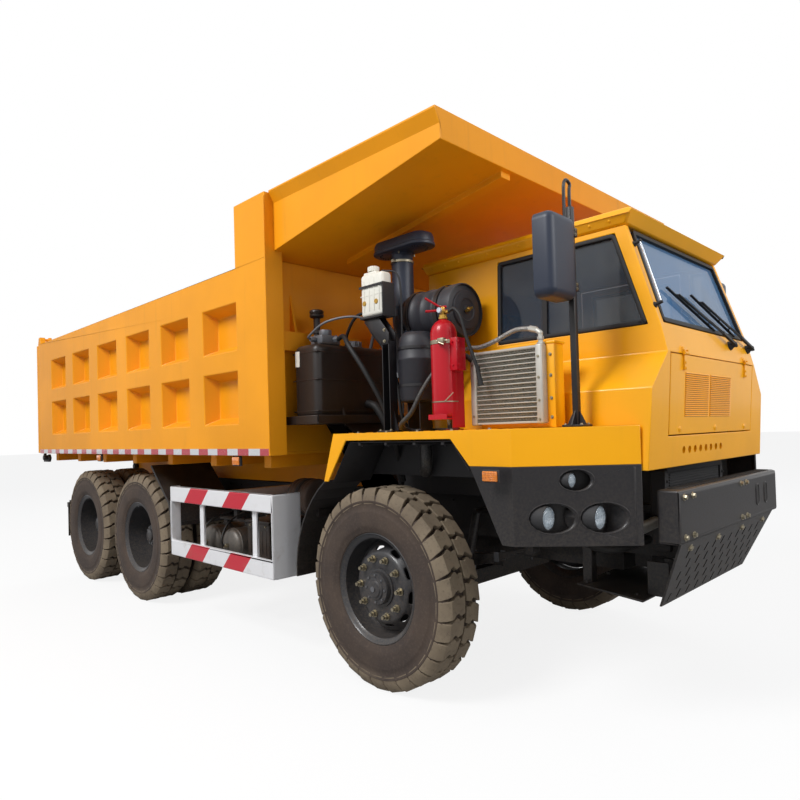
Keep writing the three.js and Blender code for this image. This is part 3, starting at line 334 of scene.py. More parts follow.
def tapeFinish():
    finish = Finish("markingTape", "red_paint", Coat_Weight=0.4)
    phase = (finish.axis("X") + (tape["start"] + 10 * tape["pitch"])).wave(tape["pitch"])
    red = phase.above(0.49, 0.51)
    cell = finish.node("ShaderNodeTexVoronoi", {}, {"Vector": finish.place, "Scale": 240.0})
    scuff = finish.noise(9.0, 5.0, 0.7).above(0.55, 0.8)
    color = finish.blend(red, tone("#d5d6d8"), tone("#bb1d2e"))
    color = finish.blend(cell.above(0.2, 0.6) * 0.25, color, tone("#8d8f94"))
    color = finish.blend(scuff * 0.3, color, tone("#8c6d48"))
    finish.show("Base Color", color).show("Roughness", 0.25 + scuff * 0.3)
    finish.bump(cell, 0.0003, 0.5)
    finishes["markingTape"] = finish


def glassFinish(name, color, alpha):
    finish = Finish(name, "window_glass", IOR=1.45)
    film = finish.noise(2.4, 4.0).above(0.35, 0.8)
    specks = finish.noise(120.0, 3.0).above(0.62, 0.8)
    lower = 1.0 - finish.axis("Z").above(2.1, 2.6)
    finish.show("Base Color", finish.blend(film * 0.3, tone(color), tone("#8b8a80")))
    finish.show("Roughness", 0.03 + film * 0.05 + specks * 0.08)
    finish.show("Alpha", alpha + film * 0.05 + specks * lower * 0.1)
    finishes[name] = finish


def lensFinish(name, slot, color, ribs, metallic=0.0):
    finish = Finish(name, slot, Coat_Weight=1.0, Coat_Roughness=0.05, Metallic=metallic)
    rib = finish.node("ShaderNodeTexWave", {"bands_direction": "Y", "wave_profile": "SIN"},
                      {"Vector": finish.place, "Scale": ribs, "Distortion": 0.0})
    spark = finish.node("ShaderNodeTexVoronoi", {}, {"Vector": finish.place, "Scale": ribs * 1.6})
    glint = tone("#f5f6f8") if metallic else tone(color, 1.7)
    # darker bands along the ribs are painted shade, and the brighter cells are painted glints
    color = finish.blend(rib * 0.45, tone(color), tone(color, 0.55))
    color = finish.blend(spark.above(0.25, 0.6) * 0.4, color, glint)
    finish.show("Base Color", color).show("Roughness", 0.12 + rib * 0.15)
    finish.bump(rib, 0.001, 0.8)
    finishes[name] = finish


# Hoses with rings or a woven cover along them, told apart by how fine the pattern is.
def hoseFinish(name, slot, dark, pale, scale, metallic=0.0):
    finish = Finish(name, slot, Metallic=metallic)
    rings = finish.node("ShaderNodeTexVoronoi", {}, {"Vector": finish.place, "Scale": scale})
    grime = finish.noise(9.0, 4.0).above(0.45, 0.75)
    color = finish.blend(rings.above(0.2, 0.6), tone(pale), tone(dark))
    finish.show("Base Color", finish.blend(grime * 0.4, color, tone("#5f5546")))
    finish.show("Roughness", 0.45 + grime * 0.3)
    finish.bump(rings, 0.0012, 0.8)
    finishes[name] = finish


def seatFinish():
    finish = Finish("seatCloth", "trim_plastic", Sheen_Weight=0.3)
    weave = finish.node("ShaderNodeTexChecker", {}, {"Vector": finish.place, "Scale": 420.0}, 1)
    worn = finish.noise(5.0, 4.0).above(0.4, 0.7)
    color = finish.blend(worn * 0.5, tone("#33363d"), tone("#4a4c50"))
    finish.show("Base Color", finish.blend(weave * 0.3, color, tone("#1d1f23")))
    finish.show("Roughness", 0.85 - worn * 0.1)
    finish.bump(weave, 0.0006, 0.6)
    finishes["seatCloth"] = finish


tyreFinish()
treadFinish()
guardFinish(low("side_guard_right").z, high("side_guard_right").z - 0.132)
tapeFinish()
glassFinish("windowGlass", "#333e4c", 0.6)
# the windscreen's sky-blue colour is a painted reflection of the sky
glassFinish("screenGlass", "#5f8cba", 0.6)
glassFinish("lampGlass", "#c6d2da", 0.25)
lensFinish("amberLens", "red_paint", "#d9761c", 60.0)
lensFinish("redLens", "red_paint", "#b3121c", 60.0)
lensFinish("clearLens", "hoist_chrome", "#b9c6d2", 45.0, metallic=0.4)
hoseFinish("braid", "bare_aluminium", "#6f6d6a", "#c9c7c2", 260.0, 0.5)
hoseFinish("ribbedHose", "trim_plastic", "#1a191a", "#4a4845", 170.0)
seatFinish()
print("finishes ready")


# Modelling: every piece is made in place, in metres.
up = Vector((0, 0, 1))
hands = (("right", -1), ("left", 1))
onDeck, onRail, onFloor = 1.5853, 0.4003, 1.4013  # seats just clear of deck, frame rail, cab floor
aim = {"x": Matrix.Rotation(math.pi / 2, 4, "Y"), "y": Matrix.Rotation(-math.pi / 2, 4, "X"),
       "z": Matrix.Identity(4)}


def move(bm, verts, matrix):
    bmesh.ops.transform(bm, matrix=matrix, verts=list(verts))
    return verts


def edgesOf(verts):
    chosen = set(verts)
    return [e for e in {e for v in verts for e in v.link_edges} if set(e.verts) <= chosen]


def soften(bm, edges, width, segments=2):
    bmesh.ops.bevel(bm, geom=list(edges), offset=width, offset_type="OFFSET",
                    segments=segments, profile=0.5, affect="EDGES", material=-1,
                    clamp_overlap=True)


def block(bm, first, last, bevel=0.003, segments=2, turn=None):
    first, last = Vector(first), Vector(last)
    verts = bmesh.ops.create_cube(bm, size=1.0)["verts"]
    bmesh.ops.scale(bm, vec=last - first, verts=verts)
    place = Matrix.Translation((first + last) / 2)
    move(bm, verts, place @ turn if turn else place)
    if bevel:
        soften(bm, edgesOf(verts), bevel, segments)
    return verts


def rod(bm, axis, radius, start, end, at, sides=32, bevel=0.0, tip=None):
    made = bmesh.ops.create_cone(bm, cap_ends=True, segments=sides, radius1=radius,
                                 radius2=radius if tip is None else tip, depth=end - start)
    middle = (start + end) / 2
    spot = {"x": (middle, *at), "y": (at[0], middle, at[1]), "z": (*at, middle)}[axis]
    verts = made["verts"]
    move(bm, verts, Matrix.Translation(spot) @ aim[axis])
    if bevel:
        rims = [e for e in edgesOf(verts) if any(len(f.verts) > 4 for f in e.link_faces)]
        soften(bm, rims, bevel, 2)
    return verts


def rodAlong(bm, start, end, radius, sides=16, tip=None):
    start, end = Vector(start), Vector(end)
    made = bmesh.ops.create_cone(bm, cap_ends=True, segments=sides, radius1=radius,
                                 radius2=radius if tip is None else tip,
                                 depth=(end - start).length)["verts"]
    turn = (end - start).to_track_quat("Z", "Y").to_matrix().to_4x4()
    return move(bm, made, Matrix.Translation((start + end) / 2) @ turn)


# A profile of (radius, along) points spun round an axis; it closes itself on the axis.
def turned(bm, profile, axis, at, sides=48, side=1, loop=False):
    made = [bm.verts.new((max(r, 0.0), 0.0, a * side)) for r, a in profile]
    edges = [bm.edges.new(pair) for pair in zip(made, made[1:])]
    if loop:
        edges.append(bm.edges.new((made[-1], made[0])))
    before = set(bm.verts) - set(made)
    bmesh.ops.spin(bm, geom=made + edges, cent=(0, 0, 0), axis=(0, 0, 1), dvec=(0, 0, 0),
                   angle=2 * math.pi, steps=sides, use_merge=True)
    fresh = [v for v in bm.verts if v not in before]
    bmesh.ops.remove_doubles(bm, verts=fresh, dist=1e-5)
    fresh = [v for v in bm.verts if v not in before]
    move(bm, fresh, Matrix.Translation(at) @ aim[axis])
    return fresh


def prism(bm, outline, depth, bevel=0.0, segments=2):
    face = bm.faces.new([bm.verts.new(point) for point in outline])
    made = bmesh.ops.extrude_face_region(bm, geom=[face])["geom"]
    tops = [g for g in made if isinstance(g, bmesh.types.BMVert)]
    bmesh.ops.translate(bm, vec=Vector(depth), verts=tops)
    verts = list(face.verts) + tops
    if bevel:
        soften(bm, edgesOf(verts), bevel, segments)
    return verts


def bolt(bm, at, axis, size, side=1):
    spot = Vector(at)
    step = {"x": Vector((side, 0, 0)), "y": Vector((0, side, 0)), "z": Vector((0, 0, side))}[axis]
    washer, head = (size * 0.78, size * 0.16, 20, 0.08), (size * 0.55, size * 0.5, 6, 0.4)
    for radius, thick, sides, offset in (washer, head):
        made = bmesh.ops.create_cone(bm, cap_ends=True, segments=sides, radius1=radius,
                                     radius2=radius * 0.96, depth=thick)["verts"]
        move(bm, made, Matrix.Translation(spot + step * size * offset) @ aim[axis])


# Stamps one finished item round an axis, a whole number of times.
def repeat(bm, item, count, at, axis, first=0.0):
    mesh = bpy.data.meshes.new("item")
    item.to_mesh(mesh)
    item.free()
    for i in range(count):
        before = len(bm.verts)
        bm.from_mesh(mesh)
        bm.verts.ensure_lookup_table()
        turn = Matrix.Rotation(first + 2 * math.pi * i / count, 4, Vector(axis))
        place = Matrix.Translation(at) @ turn @ Matrix.Translation(-Vector(at))
        move(bm, bm.verts[before:], place)
    bpy.data.meshes.remove(mesh)


# Cosine and sine of evenly spaced turns.
def circle(count):
    turns = [2 * math.pi * i / count for i in range(count)]
    return [(math.cos(turn), math.sin(turn)) for turn in turns]


# A closed chain of thin rods through the given points.
def wire(bm, points, radius, sides=8):
    for first, last in zip(points, points[1:] + points[:1]):
        rodAlong(bm, first, last, radius, sides)


# Upright ribs round a cap.
def knurl(bm, at, reach, count, radius, start, end, sides):
    for c, s in circle(count):
        rod(bm, "z", radius, start, end, (at.x + reach * c, at.y + reach * s), sides)


# A strap round a drum, from an inner to an outer radius.
def strap(bm, axis, at, inner, outer, start, width, sides=56):
    end = start + width
    turned(bm, [(inner, start), (outer, start), (outer, end), (inner, end)], axis, at, sides,
           loop=True)


# A profile turned about local z, then laid at a place.
def turnedAt(bm, profile, place, sides, loop=False):
    move(bm, turned(bm, profile, "z", (0, 0, 0), sides, loop=loop), place)


def bolts(bm, spots, axis, size, side=1):
    for spot in spots:
        bolt(bm, spot, axis, size, side)


def piece(name, bm, finish, body="chassis", sharp=38, recalc=True, levels=0, flat=()):
    if recalc:
        bmesh.ops.recalc_face_normals(bm, faces=bm.faces)
    for face in bm.faces:
        face.smooth = face not in flat
    for edge in bm.edges:
        edge.smooth = len(edge.link_faces) != 2 or edge.calc_face_angle(0) < math.radians(sharp)
    mesh = bpy.data.meshes.new(name)
    bm.to_mesh(mesh)
    bm.free()
    mesh.materials.append(finishes[finish].material)
    made = bpy.data.objects.new(name, mesh)
    scene.collection.objects.link(made)
    if levels:
        smooth = made.modifiers.new("smooth", "SUBSURF")
        smooth.levels = smooth.render_levels = levels
    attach(made, body)
    return made


# Points along a smooth line through the given ones.
def smoothPath(points, steps=10):
    points = [Vector(p) for p in points]
    padded = [points[0] * 2 - points[1]] + points + [points[-1] * 2 - points[-2]]
    line = []
    for a, b, c, d in zip(padded, padded[1:], padded[2:], padded[3:]):
        for i in range(steps):
            t = i / steps
            line.append(0.5 * (2 * b + (c - a) * t + (2 * a - 5 * b + 4 * c - d) * t * t
                               + (3 * b - a - 3 * c + d) * t ** 3))
    return line + [points[-1]]


def lengthOf(line):
    return sum((b - a).length for a, b in zip(line, line[1:]))


def pipe(name, points, radius, finish, body="chassis"):
    line = smoothPath(points)
    curve = bpy.data.curves.new(name, "CURVE")
    curve.dimensions = "3D"
    curve.bevel_depth = radius
    curve.bevel_resolution = 3
    curve.use_fill_caps = True
    spline = curve.splines.new("POLY")
    spline.points.add(len(line) - 1)
    for knot, point in zip(spline.points, line):
        knot.co = (*point, 1.0)
    spline.use_smooth = True
    curve.materials.append(finishes[finish].material)
    made = bpy.data.objects.new(name, curve)
    scene.collection.objects.link(made)
    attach(made, body)
    return made


# A copy of a frame node with its hard edges rounded, which stands in for it.
def rounded(node, finish, width=0.004, segments=2, angle=40):
    bm = bmesh.new()
    bm.from_mesh(nodes[node].data)
    bmesh.ops.remove_doubles(bm, verts=bm.verts, dist=0.0002)
    bmesh.ops.join_triangles(bm, faces=bm.faces, angle_face_threshold=math.radians(1),
                             angle_shape_threshold=math.pi)
    hard = [e for e in bm.edges
            if len(e.link_faces) == 2 and e.calc_face_angle(0) > math.radians(angle)
            and e.calc_length() > width * 2.2]
    curved = set(bmesh.ops.bevel(bm, geom=hard, offset=width, offset_type="OFFSET",
                                 segments=segments, profile=0.5, affect="EDGES", material=-1,
                                 clamp_overlap=False)["faces"])
    flat = {f for f in bm.faces if f not in curved and f.calc_area() > 0.0006}
    made = piece(node + "_skin", bm, finish, nodes[node]["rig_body"], sharp=32, recalc=False,
                 flat=flat)
    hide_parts(node)
    return made


def paintNode(node, finish):
    mesh = nodes[node].data
    mesh.materials.clear()
    mesh.materials.append(finishes[finish].material)


tyre = {"radius": 0.6195, "width": 0.315, "lugs": 30, "lugHeight": 0.024, "gap": 0.2,
        "sweep": 0.045, "steps": 72}


def tyreShape(bm, at, side):
    half, radius = tyre["width"] / 2, tyre["radius"] - tyre["lugHeight"]
    wall = [(0.343, half - 0.024), (0.352, half - 0.014), (0.372, half - 0.012),
            (0.376, half - 0.008), (0.40, half - 0.003), (0.44, half), (0.47, half),
            (0.474, half), (0.482, half), (0.486, half - 0.002), (0.53, half - 0.005),
            (0.534, half - 0.001), (0.545, half - 0.001), (0.549, half - 0.006),
            (0.572, half - 0.010), (0.588, half - 0.030), (radius - 0.002, half - 0.07)]
    inner = [(0.318, 0.12), (0.31, 0.06)]
    profile = inner + wall + [(radius, 0.0)]
    full = [(r, -a) for r, a in reversed(profile[:-1])]
    turned(bm, profile + full, "y", at, tyre["steps"], side, loop=True)


def lugShape(hand):
    half, radius, height = tyre["width"] / 2, tyre["radius"], tyre["lugHeight"]
    width = 2 * math.pi * radius / tyre["lugs"] * (1 - tyre["gap"])
    lug = bmesh.new()
    verts = bmesh.ops.create_cube(lug, size=1.0)["verts"]
    bmesh.ops.scale(lug, vec=(width, half, height + 0.012), verts=verts)
    bmesh.ops.translate(lug, vec=(0, half / 2, 0), verts=verts)
    along = [e for e in lug.edges if abs(e.verts[0].co.y - e.verts[1].co.y) > half * 0.9]
    bmesh.ops.subdivide_edges(lug, edges=along, cuts=7)
    for v in lug.verts:
        share = v.co.y / half
        top = v.co.z > 0
        step = 0.016 if share < 0.3 else (-0.010 if share < 0.6 else 0.0)
        fall = 0.003 * share ** 2 + 0.34 * max(0.0, share - 0.82)
        v.co.x = v.co.x * (0.95 + 0.09 * share) + tyre["sweep"] * share + step
        v.co.y = 0.006 + share * (half - (0.008 if top else 0.011))
        v.co.z = (radius if top else radius - height - 0.012) - fall
    if hand < 0:
        bmesh.ops.scale(lug, vec=(1, -1, 1), verts=lug.verts)
    bmesh.ops.recalc_face_normals(lug, faces=lug.faces)
    soften(lug, [e for e in lug.edges if e.calc_face_angle(0) > 0.9], 0.003, 1)
    return lug


def treadShape(bm, at):
    for hand, first in ((1, 0.0), (-1, math.pi / tyre["lugs"])):
        lug = lugShape(hand)
        bmesh.ops.translate(lug, vec=at, verts=lug.verts)
        repeat(bm, lug, tyre["lugs"], at, (0, 1, 0), first)


def tyrePieces(prefix, spots, body, node):
    bm = bmesh.new()
    for at, side in spots:
        tyreShape(bm, at, side)
    casing = piece(prefix + "_casing", bm, "tyreRubber", body, sharp=50)
    bm = bmesh.new()
    for at, side in spots:
        treadShape(bm, at)
    piece(prefix + "_tread", bm, "treadRubber", body, sharp=30)
    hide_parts(node)


frontRim = {"holes": 10, "nuts": 10, "nutCircle": 0.18}


# The wheel's disc: a ring of small facets with the hand holes left open, then thickened.
def discShape(bm, at, side, rings, holeRing, holes, thick):
    perHole, opened = 4, 2  # facets for each hand hole, and how many of them are cut away
    sides = holes * perHole
    made = [bm.verts.new((r, 0.0, a * side)) for r, a in rings]
    edges = [bm.edges.new(pair) for pair in zip(made, made[1:])]
    before = set(bm.faces)
    bmesh.ops.spin(bm, geom=made + edges, cent=(0, 0, 0), axis=(0, 0, 1), dvec=(0, 0, 0),
                   angle=2 * math.pi, steps=sides, use_merge=True)
    faces = [f for f in bm.faces if f not in before]
    inner, outer = rings[holeRing][0], rings[holeRing + 1][0]
    gone = []
    for f in faces:
        c = f.calc_center_median()
        r = math.hypot(c.x, c.y)
        sector = int((math.atan2(c.y, c.x) % (2 * math.pi)) / (2 * math.pi) * sides)
        if inner < r < outer and sector % perHole < opened:
            gone.append(f)
    bmesh.ops.delete(bm, geom=gone, context="FACES")
    left = [f for f in faces if f.is_valid]
    bmesh.ops.recalc_face_normals(bm, faces=left)
    verts = list({v for f in left for v in f.verts})
    skin = bmesh.ops.solidify(bm, geom=left + verts + list({e for f in left for e in f.edges}),
                              thickness=thick)["geom"]
    verts = list(set(verts) | {g for g in skin if isinstance(g, bmesh.types.BMVert)})
    move(bm, verts, Matrix.Translation(at) @ aim["y"])


# A ring of fasteners; each is stacked rods of (radius, from, to, sides) off the wheel's face.
def ringOf(bm, at, side, circle, count, face, stack):
    item = bmesh.new()
    for radius, start, end, sides in stack:
        ends = sorted((at.y + side * (face + start), at.y + side * (face + end)))
        rod(item, "y", radius, *ends, (at.x + circle, at.z), sides)
    repeat(bm, item, count, at, (0, 1, 0))


def frontWheel(word, side):
    body = "front_wheel_" + word
    at = centre("front_tyre_" + word)
    tyrePieces("front_tyre_" + word, [(at, 1)], body, "front_tyre_" + word)
    bm = bmesh.new()
    barrel = [(0.344, 0.133), (0.338, 0.136), (0.332, 0.128), (0.318, 0.124), (0.306, 0.112),
              (0.302, 0.02), (0.285, 0.0), (0.285, -0.09), (0.306, -0.112), (0.318, -0.124),
              (0.338, -0.136), (0.346, -0.133), (0.346, -0.128), (0.322, -0.116),
              (0.312, -0.1), (0.292, -0.085), (0.292, -0.004), (0.308, 0.016),
              (0.312, 0.104), (0.322, 0.118), (0.346, 0.128)]
    turned(bm, barrel, "y", at, 96, side, loop=True)
    rim = piece("front_rim_" + word + "_barrel", bm, "rimPaint", body)
    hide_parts("front_rim_" + word)
    bm = bmesh.new()
    rings = [(0.112, 0.088), (0.145, 0.088), (0.205, 0.087), (0.222, 0.078), (0.233, 0.066),
             (0.256, 0.042), (0.27, 0.02), (0.287, 0.012)]
    discShape(bm, at, side, rings, 4, frontRim["holes"], 0.011)
    piece("front_rim_" + word + "_disc", bm, "rimPaint", body, levels=2)
    bm = bmesh.new()
    drum = [(0.0, 0.0), (0.226, 0.0), (0.236, -0.008), (0.236, -0.03), (0.231, -0.036),
            (0.231, -0.094), (0.238, -0.098), (0.238, -0.112), (0.2, -0.116), (0.0, -0.116)]
    turned(bm, drum, "y", at, 64, side)
    piece("front_drum_" + word, bm, "trim", body)
    bm = bmesh.new()
    hub = [(0.0, 0.152), (0.03, 0.152), (0.05, 0.148), (0.056, 0.14), (0.066, 0.138),
           (0.07, 0.13), (0.098, 0.128), (0.102, 0.12), (0.104, 0.098), (0.118, 0.096),
           (0.12, 0.08), (0.05, 0.07), (0.0, 0.07)]
    turned(bm, hub, "y", at, 64, side)
    piece("front_hub_" + word, bm, "rimPaint", body)
    bm = bmesh.new()
    ringOf(bm, at, side, frontRim["nutCircle"], frontRim["nuts"], 0.088,
           ((0.024, 0.0, 0.006, 24), (0.0185, 0.005, 0.026, 6), (0.0115, 0.02, 0.044, 14)))
    piece("front_nuts_" + word, bm, "zinc", body)
    bm = bmesh.new()
    ringOf(bm, at, side, 0.083, 8, 0.126, ((0.007, 0.0, 0.010, 6),))
    rod(bm, "y", 0.018, *sorted((at.y + side * 0.15, at.y + side * 0.158)), (at.x, at.z), 6)
    piece("front_cap_bolts_" + word, bm, "greyPaint", body)


def twinWheel(axle, word, side):
    node = f"{axle}_twin_{word}"
    body = f"{axle}_wheels_{word}"
    at = centre(node)
    spots = [at + Vector((0, side * offset, 0)) for offset in (0.177, -0.177)]
    tyrePieces(node, [(spot, 1) for spot in spots], body, node)
    bm = bmesh.new()
    half = [(0.346, 0.311), (0.338, 0.314), (0.331, 0.306), (0.317, 0.302), (0.304, 0.29),
            (0.298, 0.09), (0.284, 0.05), (0.282, 0.015), (0.29, 0.015), (0.296, 0.05),
            (0.309, 0.082), (0.311, 0.282), (0.322, 0.295), (0.346, 0.305)]
    turned(bm, half, "y", at, 80, side, loop=True)
    turned(bm, half, "y", at, 80, -side, loop=True)
    block(bm, at + Vector((-0.04, side * 0.29 - 0.004, 0.29)),
          at + Vector((-0.02, side * 0.29 + 0.004, 0.315)), 0.001, 1)
    piece(node + "_rims", bm, "rimPaint", body)
    bm = bmesh.new()
    rings = [(0.118, 0.03), (0.15, 0.03), (0.198, 0.028), (0.212, 0.022), (0.226, 0.016),
             (0.254, 0.016), (0.27, 0.02), (0.292, 0.04)]
    discShape(bm, at, side, rings, 4, 10, -0.012)
    piece(node + "_disc", bm, "rimPaint", body, levels=1)
    bm = bmesh.new()
    hub = [(0.0, 0.214), (0.05, 0.214), (0.06, 0.208), (0.062, 0.19), (0.098, 0.186),
           (0.104, 0.176), (0.108, 0.05), (0.13, 0.042), (0.13, 0.024), (0.0, 0.02)]
    turned(bm, hub, "y", at, 56, side)
    drum = [(0.0, -0.14), (0.2, -0.15), (0.205, -0.16), (0.205, -0.30), (0.185, -0.31),
            (0.0, -0.31)]
    turned(bm, drum, "y", at, 56, side)
    piece(node + "_hub", bm, "rimPaint", body)
    bm = bmesh.new()
    ringOf(bm, at, side, 0.168, 10, 0.032, ((0.0195, 0.0, 0.024, 6), (0.011, 0.02, 0.05, 12)))
    ringOf(bm, at, side, 0.08, 10, 0.186, ((0.009, 0.0, 0.012, 6),))
    piece(node + "_nuts", bm, "greyPaint", body)


for word, side in hands:
    frontWheel(word, side)
    for axle in ("middle", "rear"):
        twinWheel(axle, word, side)
print("wheels ready")


# Skins: frame nodes whose hard edges are rounded, by finish and by how much.
skins = {
    "bodyPaint": {"body_side_right": 0.006, "body_side_left": 0.006, "body_front_wall": 0.003,
                  "canopy": 0.004, "tailgate": 0.008, "body_floor": 0.004},
    "cabPaint": {"cab_roof": 0.012, "door_left": 0.004, "front_panel": 0.004,
                 "deck_right": 0.003, "deck_left": 0.003},
    "blackPaint": {"bumper": 0.012, "lamp_panel_right": 0.003, "lamp_panel_left": 0.003,
                   "rear_bar": 0.004},
    "guardPaint": {"side_guard_right": 0.01, "side_guard_left": 0.01},
}
for finish, group in skins.items():
    for node, width in group.items():
        rounded(node, finish, width)


# Where a line first meets a node, and the way that face looks.
def touch(node, start, direction):
    probe = bmesh.new()
    probe.from_mesh(nodes[node].data)
    tree = BVHTree.FromBMesh(probe)
    met = tree.ray_cast(Vector(start), Vector(direction))
    probe.free()
    return met[:2]


# The same, looking back from straight in front.
def fromFront(node, y, z):
    return touch(node, (5, y, z), (-1, 0, 0))


# A matrix that lays local z along a normal, with local x as near as it can be to a guide.
def lay(spot, normal, guide=(0, 1, 0)):
    z = Vector(normal).normalized()
    x = (Vector(guide) - z * z.dot(Vector(guide))).normalized()
    turn = Matrix((x, z.cross(x), z)).transposed().to_4x4()
    return Matrix.Translation(spot) @ turn


gateHook = [(-0.03, 0.11), (0.16, 0.11), (0.2, 0.06), (0.16, 0.015), (0.07, 0.03),
            (-0.005, 0.045), (-0.005, 0.005), (-0.04, 0.005)]
edgeTape = {"height": 0.05, "thick": 0.0015, "inset": 0.015}
marker = {"places": [0.926, -1.817], "width": 0.11, "height": 0.075, "depth": 0.03}


def bodyDetails():
    floorZ, front = low("body_side_right").z, high("body_side_right").x
    back = low("body_side_right").x
    for word, side in hands:
        face = side * high("body_side_left").y
        bm = bmesh.new()
        block(bm, (back + edgeTape["inset"], face, floorZ + 0.002),
              (front - edgeTape["inset"], face + side * edgeTape["thick"],
               floorZ + edgeTape["height"]), 0.0006, 1)
        piece("body_tape_" + word, bm, "markingTape", "dump_body")
        lens, holder = bmesh.new(), bmesh.new()
        for x in marker["places"]:
            half, top = marker["width"] / 2, floorZ - 0.002
            y = face - side * 0.035
            block(holder, (x - half, y, top - marker["height"]), (x + half, y + side * 0.018, top),
                  0.004, 2)
            block(holder, (x - half * 0.3, y - side * 0.01, top - 0.02),
                  (x + half * 0.3, y + side * 0.012, top + 0.006), 0.002, 1)
            block(lens, (x - half * 0.86, y + side * 0.017, top - marker["height"] * 0.9),
                  (x + half * 0.86, y + side * marker["depth"], top - marker["height"] * 0.1),
                  0.006, 3)
            for dx in (-0.86, 0.86):
                bolt(holder, (x + dx * half, y + side * 0.018, top - marker["height"] / 2), "y",
                     0.009, side)
        piece("body_marker_holders_" + word, holder, "trim", "dump_body")
        piece("body_markers_" + word, lens, "amberLens", "dump_body")
        # a weld bead along the post on each side
        seam = bmesh.new()
        post = front - 0.004
        rod(seam, "z", 0.006, floorZ + 0.03, high("body_side_right").z - 0.03,
            (post, face + side * 0.001), 8)
        piece("post_weld_" + word, seam, "bodyPaint", "dump_body")
    # end caps of the tailgate pins, and the two latches under the gate
    bm = bmesh.new()
    gate = low("tailgate")
    for side in (-1, 1):
        face = side * high("body_side_left").y
        rod(bm, "y", 0.03, *sorted((face - side * 0.09, face - side * 0.03)),
            (gate.x + 0.02 + 0.1, floorZ - 0.055), 20, 0.003)
        y = face - side * 0.075
        prism(bm, [(gate.x + dx, y, floorZ - dz) for dx, dz in gateHook],
              (0, -side * 0.03, 0), 0.004)
    piece("gate_latches", bm, "blackPaint", "dump_body")
    bm = bmesh.new()
    floorTop = high("body_floor").z
    for i in range(7):
        x = back + 0.42 + i * 0.55
        block(bm, (x, -1.31, floorTop - 0.001), (x + 0.006, 1.31, floorTop + 0.0015), 0, 1)
    piece("floor_weld_lines", bm, "bodyPaint", "dump_body")


bodyDetails()
print("dump body ready")


seal = {"width": 0.024, "depth": 0.020, "corner": 0.026, "edge": 0.007}


# The pane's outer face, made into a raised rubber frame that laps the opening.
def sealRound(node):
    bm = bmesh.new()
    bm.from_mesh(nodes[node].data)
    bmesh.ops.remove_doubles(bm, verts=bm.verts, dist=0.0004)
    bmesh.ops.dissolve_limit(bm, angle_limit=math.radians(2), verts=bm.verts, edges=bm.edges)
    middle = centre("cab_shell")
    faces = sorted(bm.faces, key=lambda f: f.calc_area(), reverse=True)[:2]
    outer = max(faces, key=lambda f: (f.calc_center_median() - middle).length)
    normal = outer.normal.copy()
    if normal.dot(outer.calc_center_median() - middle) < 0:
        normal.negate()
    corners = [v.co.copy() for v in outer.verts]
    bm.free()
    bm = bmesh.new()
    face = bm.faces.new([bm.verts.new(co) for co in corners])
    bmesh.ops.bevel(bm, geom=list(face.verts), offset=seal["corner"], offset_type="OFFSET",
                    segments=6, profile=0.5, affect="VERTICES", material=-1)
    face = max(bm.faces, key=lambda f: f.calc_area())
    bmesh.ops.inset_individual(bm, faces=[face], thickness=seal["width"], depth=0.0,
                               use_even_offset=True)
    bmesh.ops.delete(bm, geom=[face], context="FACES_ONLY")
    ring = bmesh.ops.extrude_face_region(bm, geom=list(bm.faces))["geom"]
    tops = [g for g in ring if isinstance(g, bmesh.types.BMVert)]
    bmesh.ops.translate(bm, vec=normal * seal["depth"], verts=tops)
    bmesh.ops.translate(bm, vec=normal * -0.002, verts=bm.verts)
    crest = [e for e in bm.edges if set(e.verts) <= set(tops)
             and len(e.link_faces) == 2 and e.calc_face_angle(0) > 1.0]
    bmesh.ops.recalc_face_normals(bm, faces=bm.faces)
    soften(bm, crest, seal["edge"], 3)
    piece(node + "_seal", bm, "rubber", nodes[node]["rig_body"])


louvre = {"rows": 22, "from": 1.622, "to": 1.862, "columns": [(-0.462, -0.118), (-0.098, 0.246)],
          "stand": 0.0065}


def louvreBlades():
    bm = bmesh.new()
    pitch = (louvre["to"] - louvre["from"]) / louvre["rows"]
    for row in range(louvre["rows"]):
        z = louvre["from"] + (row + 0.5) * pitch
        spot, normal = fromFront("front_panel", 0, z)
        for first, last in louvre["columns"]:
            section = [(-0.001, -pitch * 0.42), (louvre["stand"], -pitch * 0.36),
                       (louvre["stand"] * 0.85, -pitch * 0.2), (-0.001, pitch * 0.34)]
            place = lay(Vector((spot.x, first, z)), normal)
            top = place.to_3x3() @ Vector((0, 1, 0))
            rise = 1 if top.z > 0 else -1
            outline = [place @ Vector((0, v * rise, u)) for u, v in section]
            prism(bm, outline, (0, last - first, 0))
    piece("front_louvres", bm, "cabPaint", "front_panel")
    # thin dark strips under each blade: painted shadow standing in for the shade in the louvre
    # gaps
    bm = bmesh.new()
    for row in range(louvre["rows"]):
        z = louvre["from"] + (row + 0.04) * pitch
        spot, normal = fromFront("front_panel", 0, z)
        for first, last in louvre["columns"]:
            verts = block(bm, (0, -0.0009, -0.004), (last - first - 0.008, 0.0009, 0.0005), 0)
            move(bm, verts, lay(Vector((spot.x, first + 0.004, z)), normal))
    piece("front_louvre_gap_shadows", bm, "trim", "front_panel")


wiper = {"pivots": [(0.3, 2.056), (0.63, 2.056)], "tips": [(-0.322, 2.29), (0.03, 2.29)],
         "blade": 0.56, "clear": 0.022}


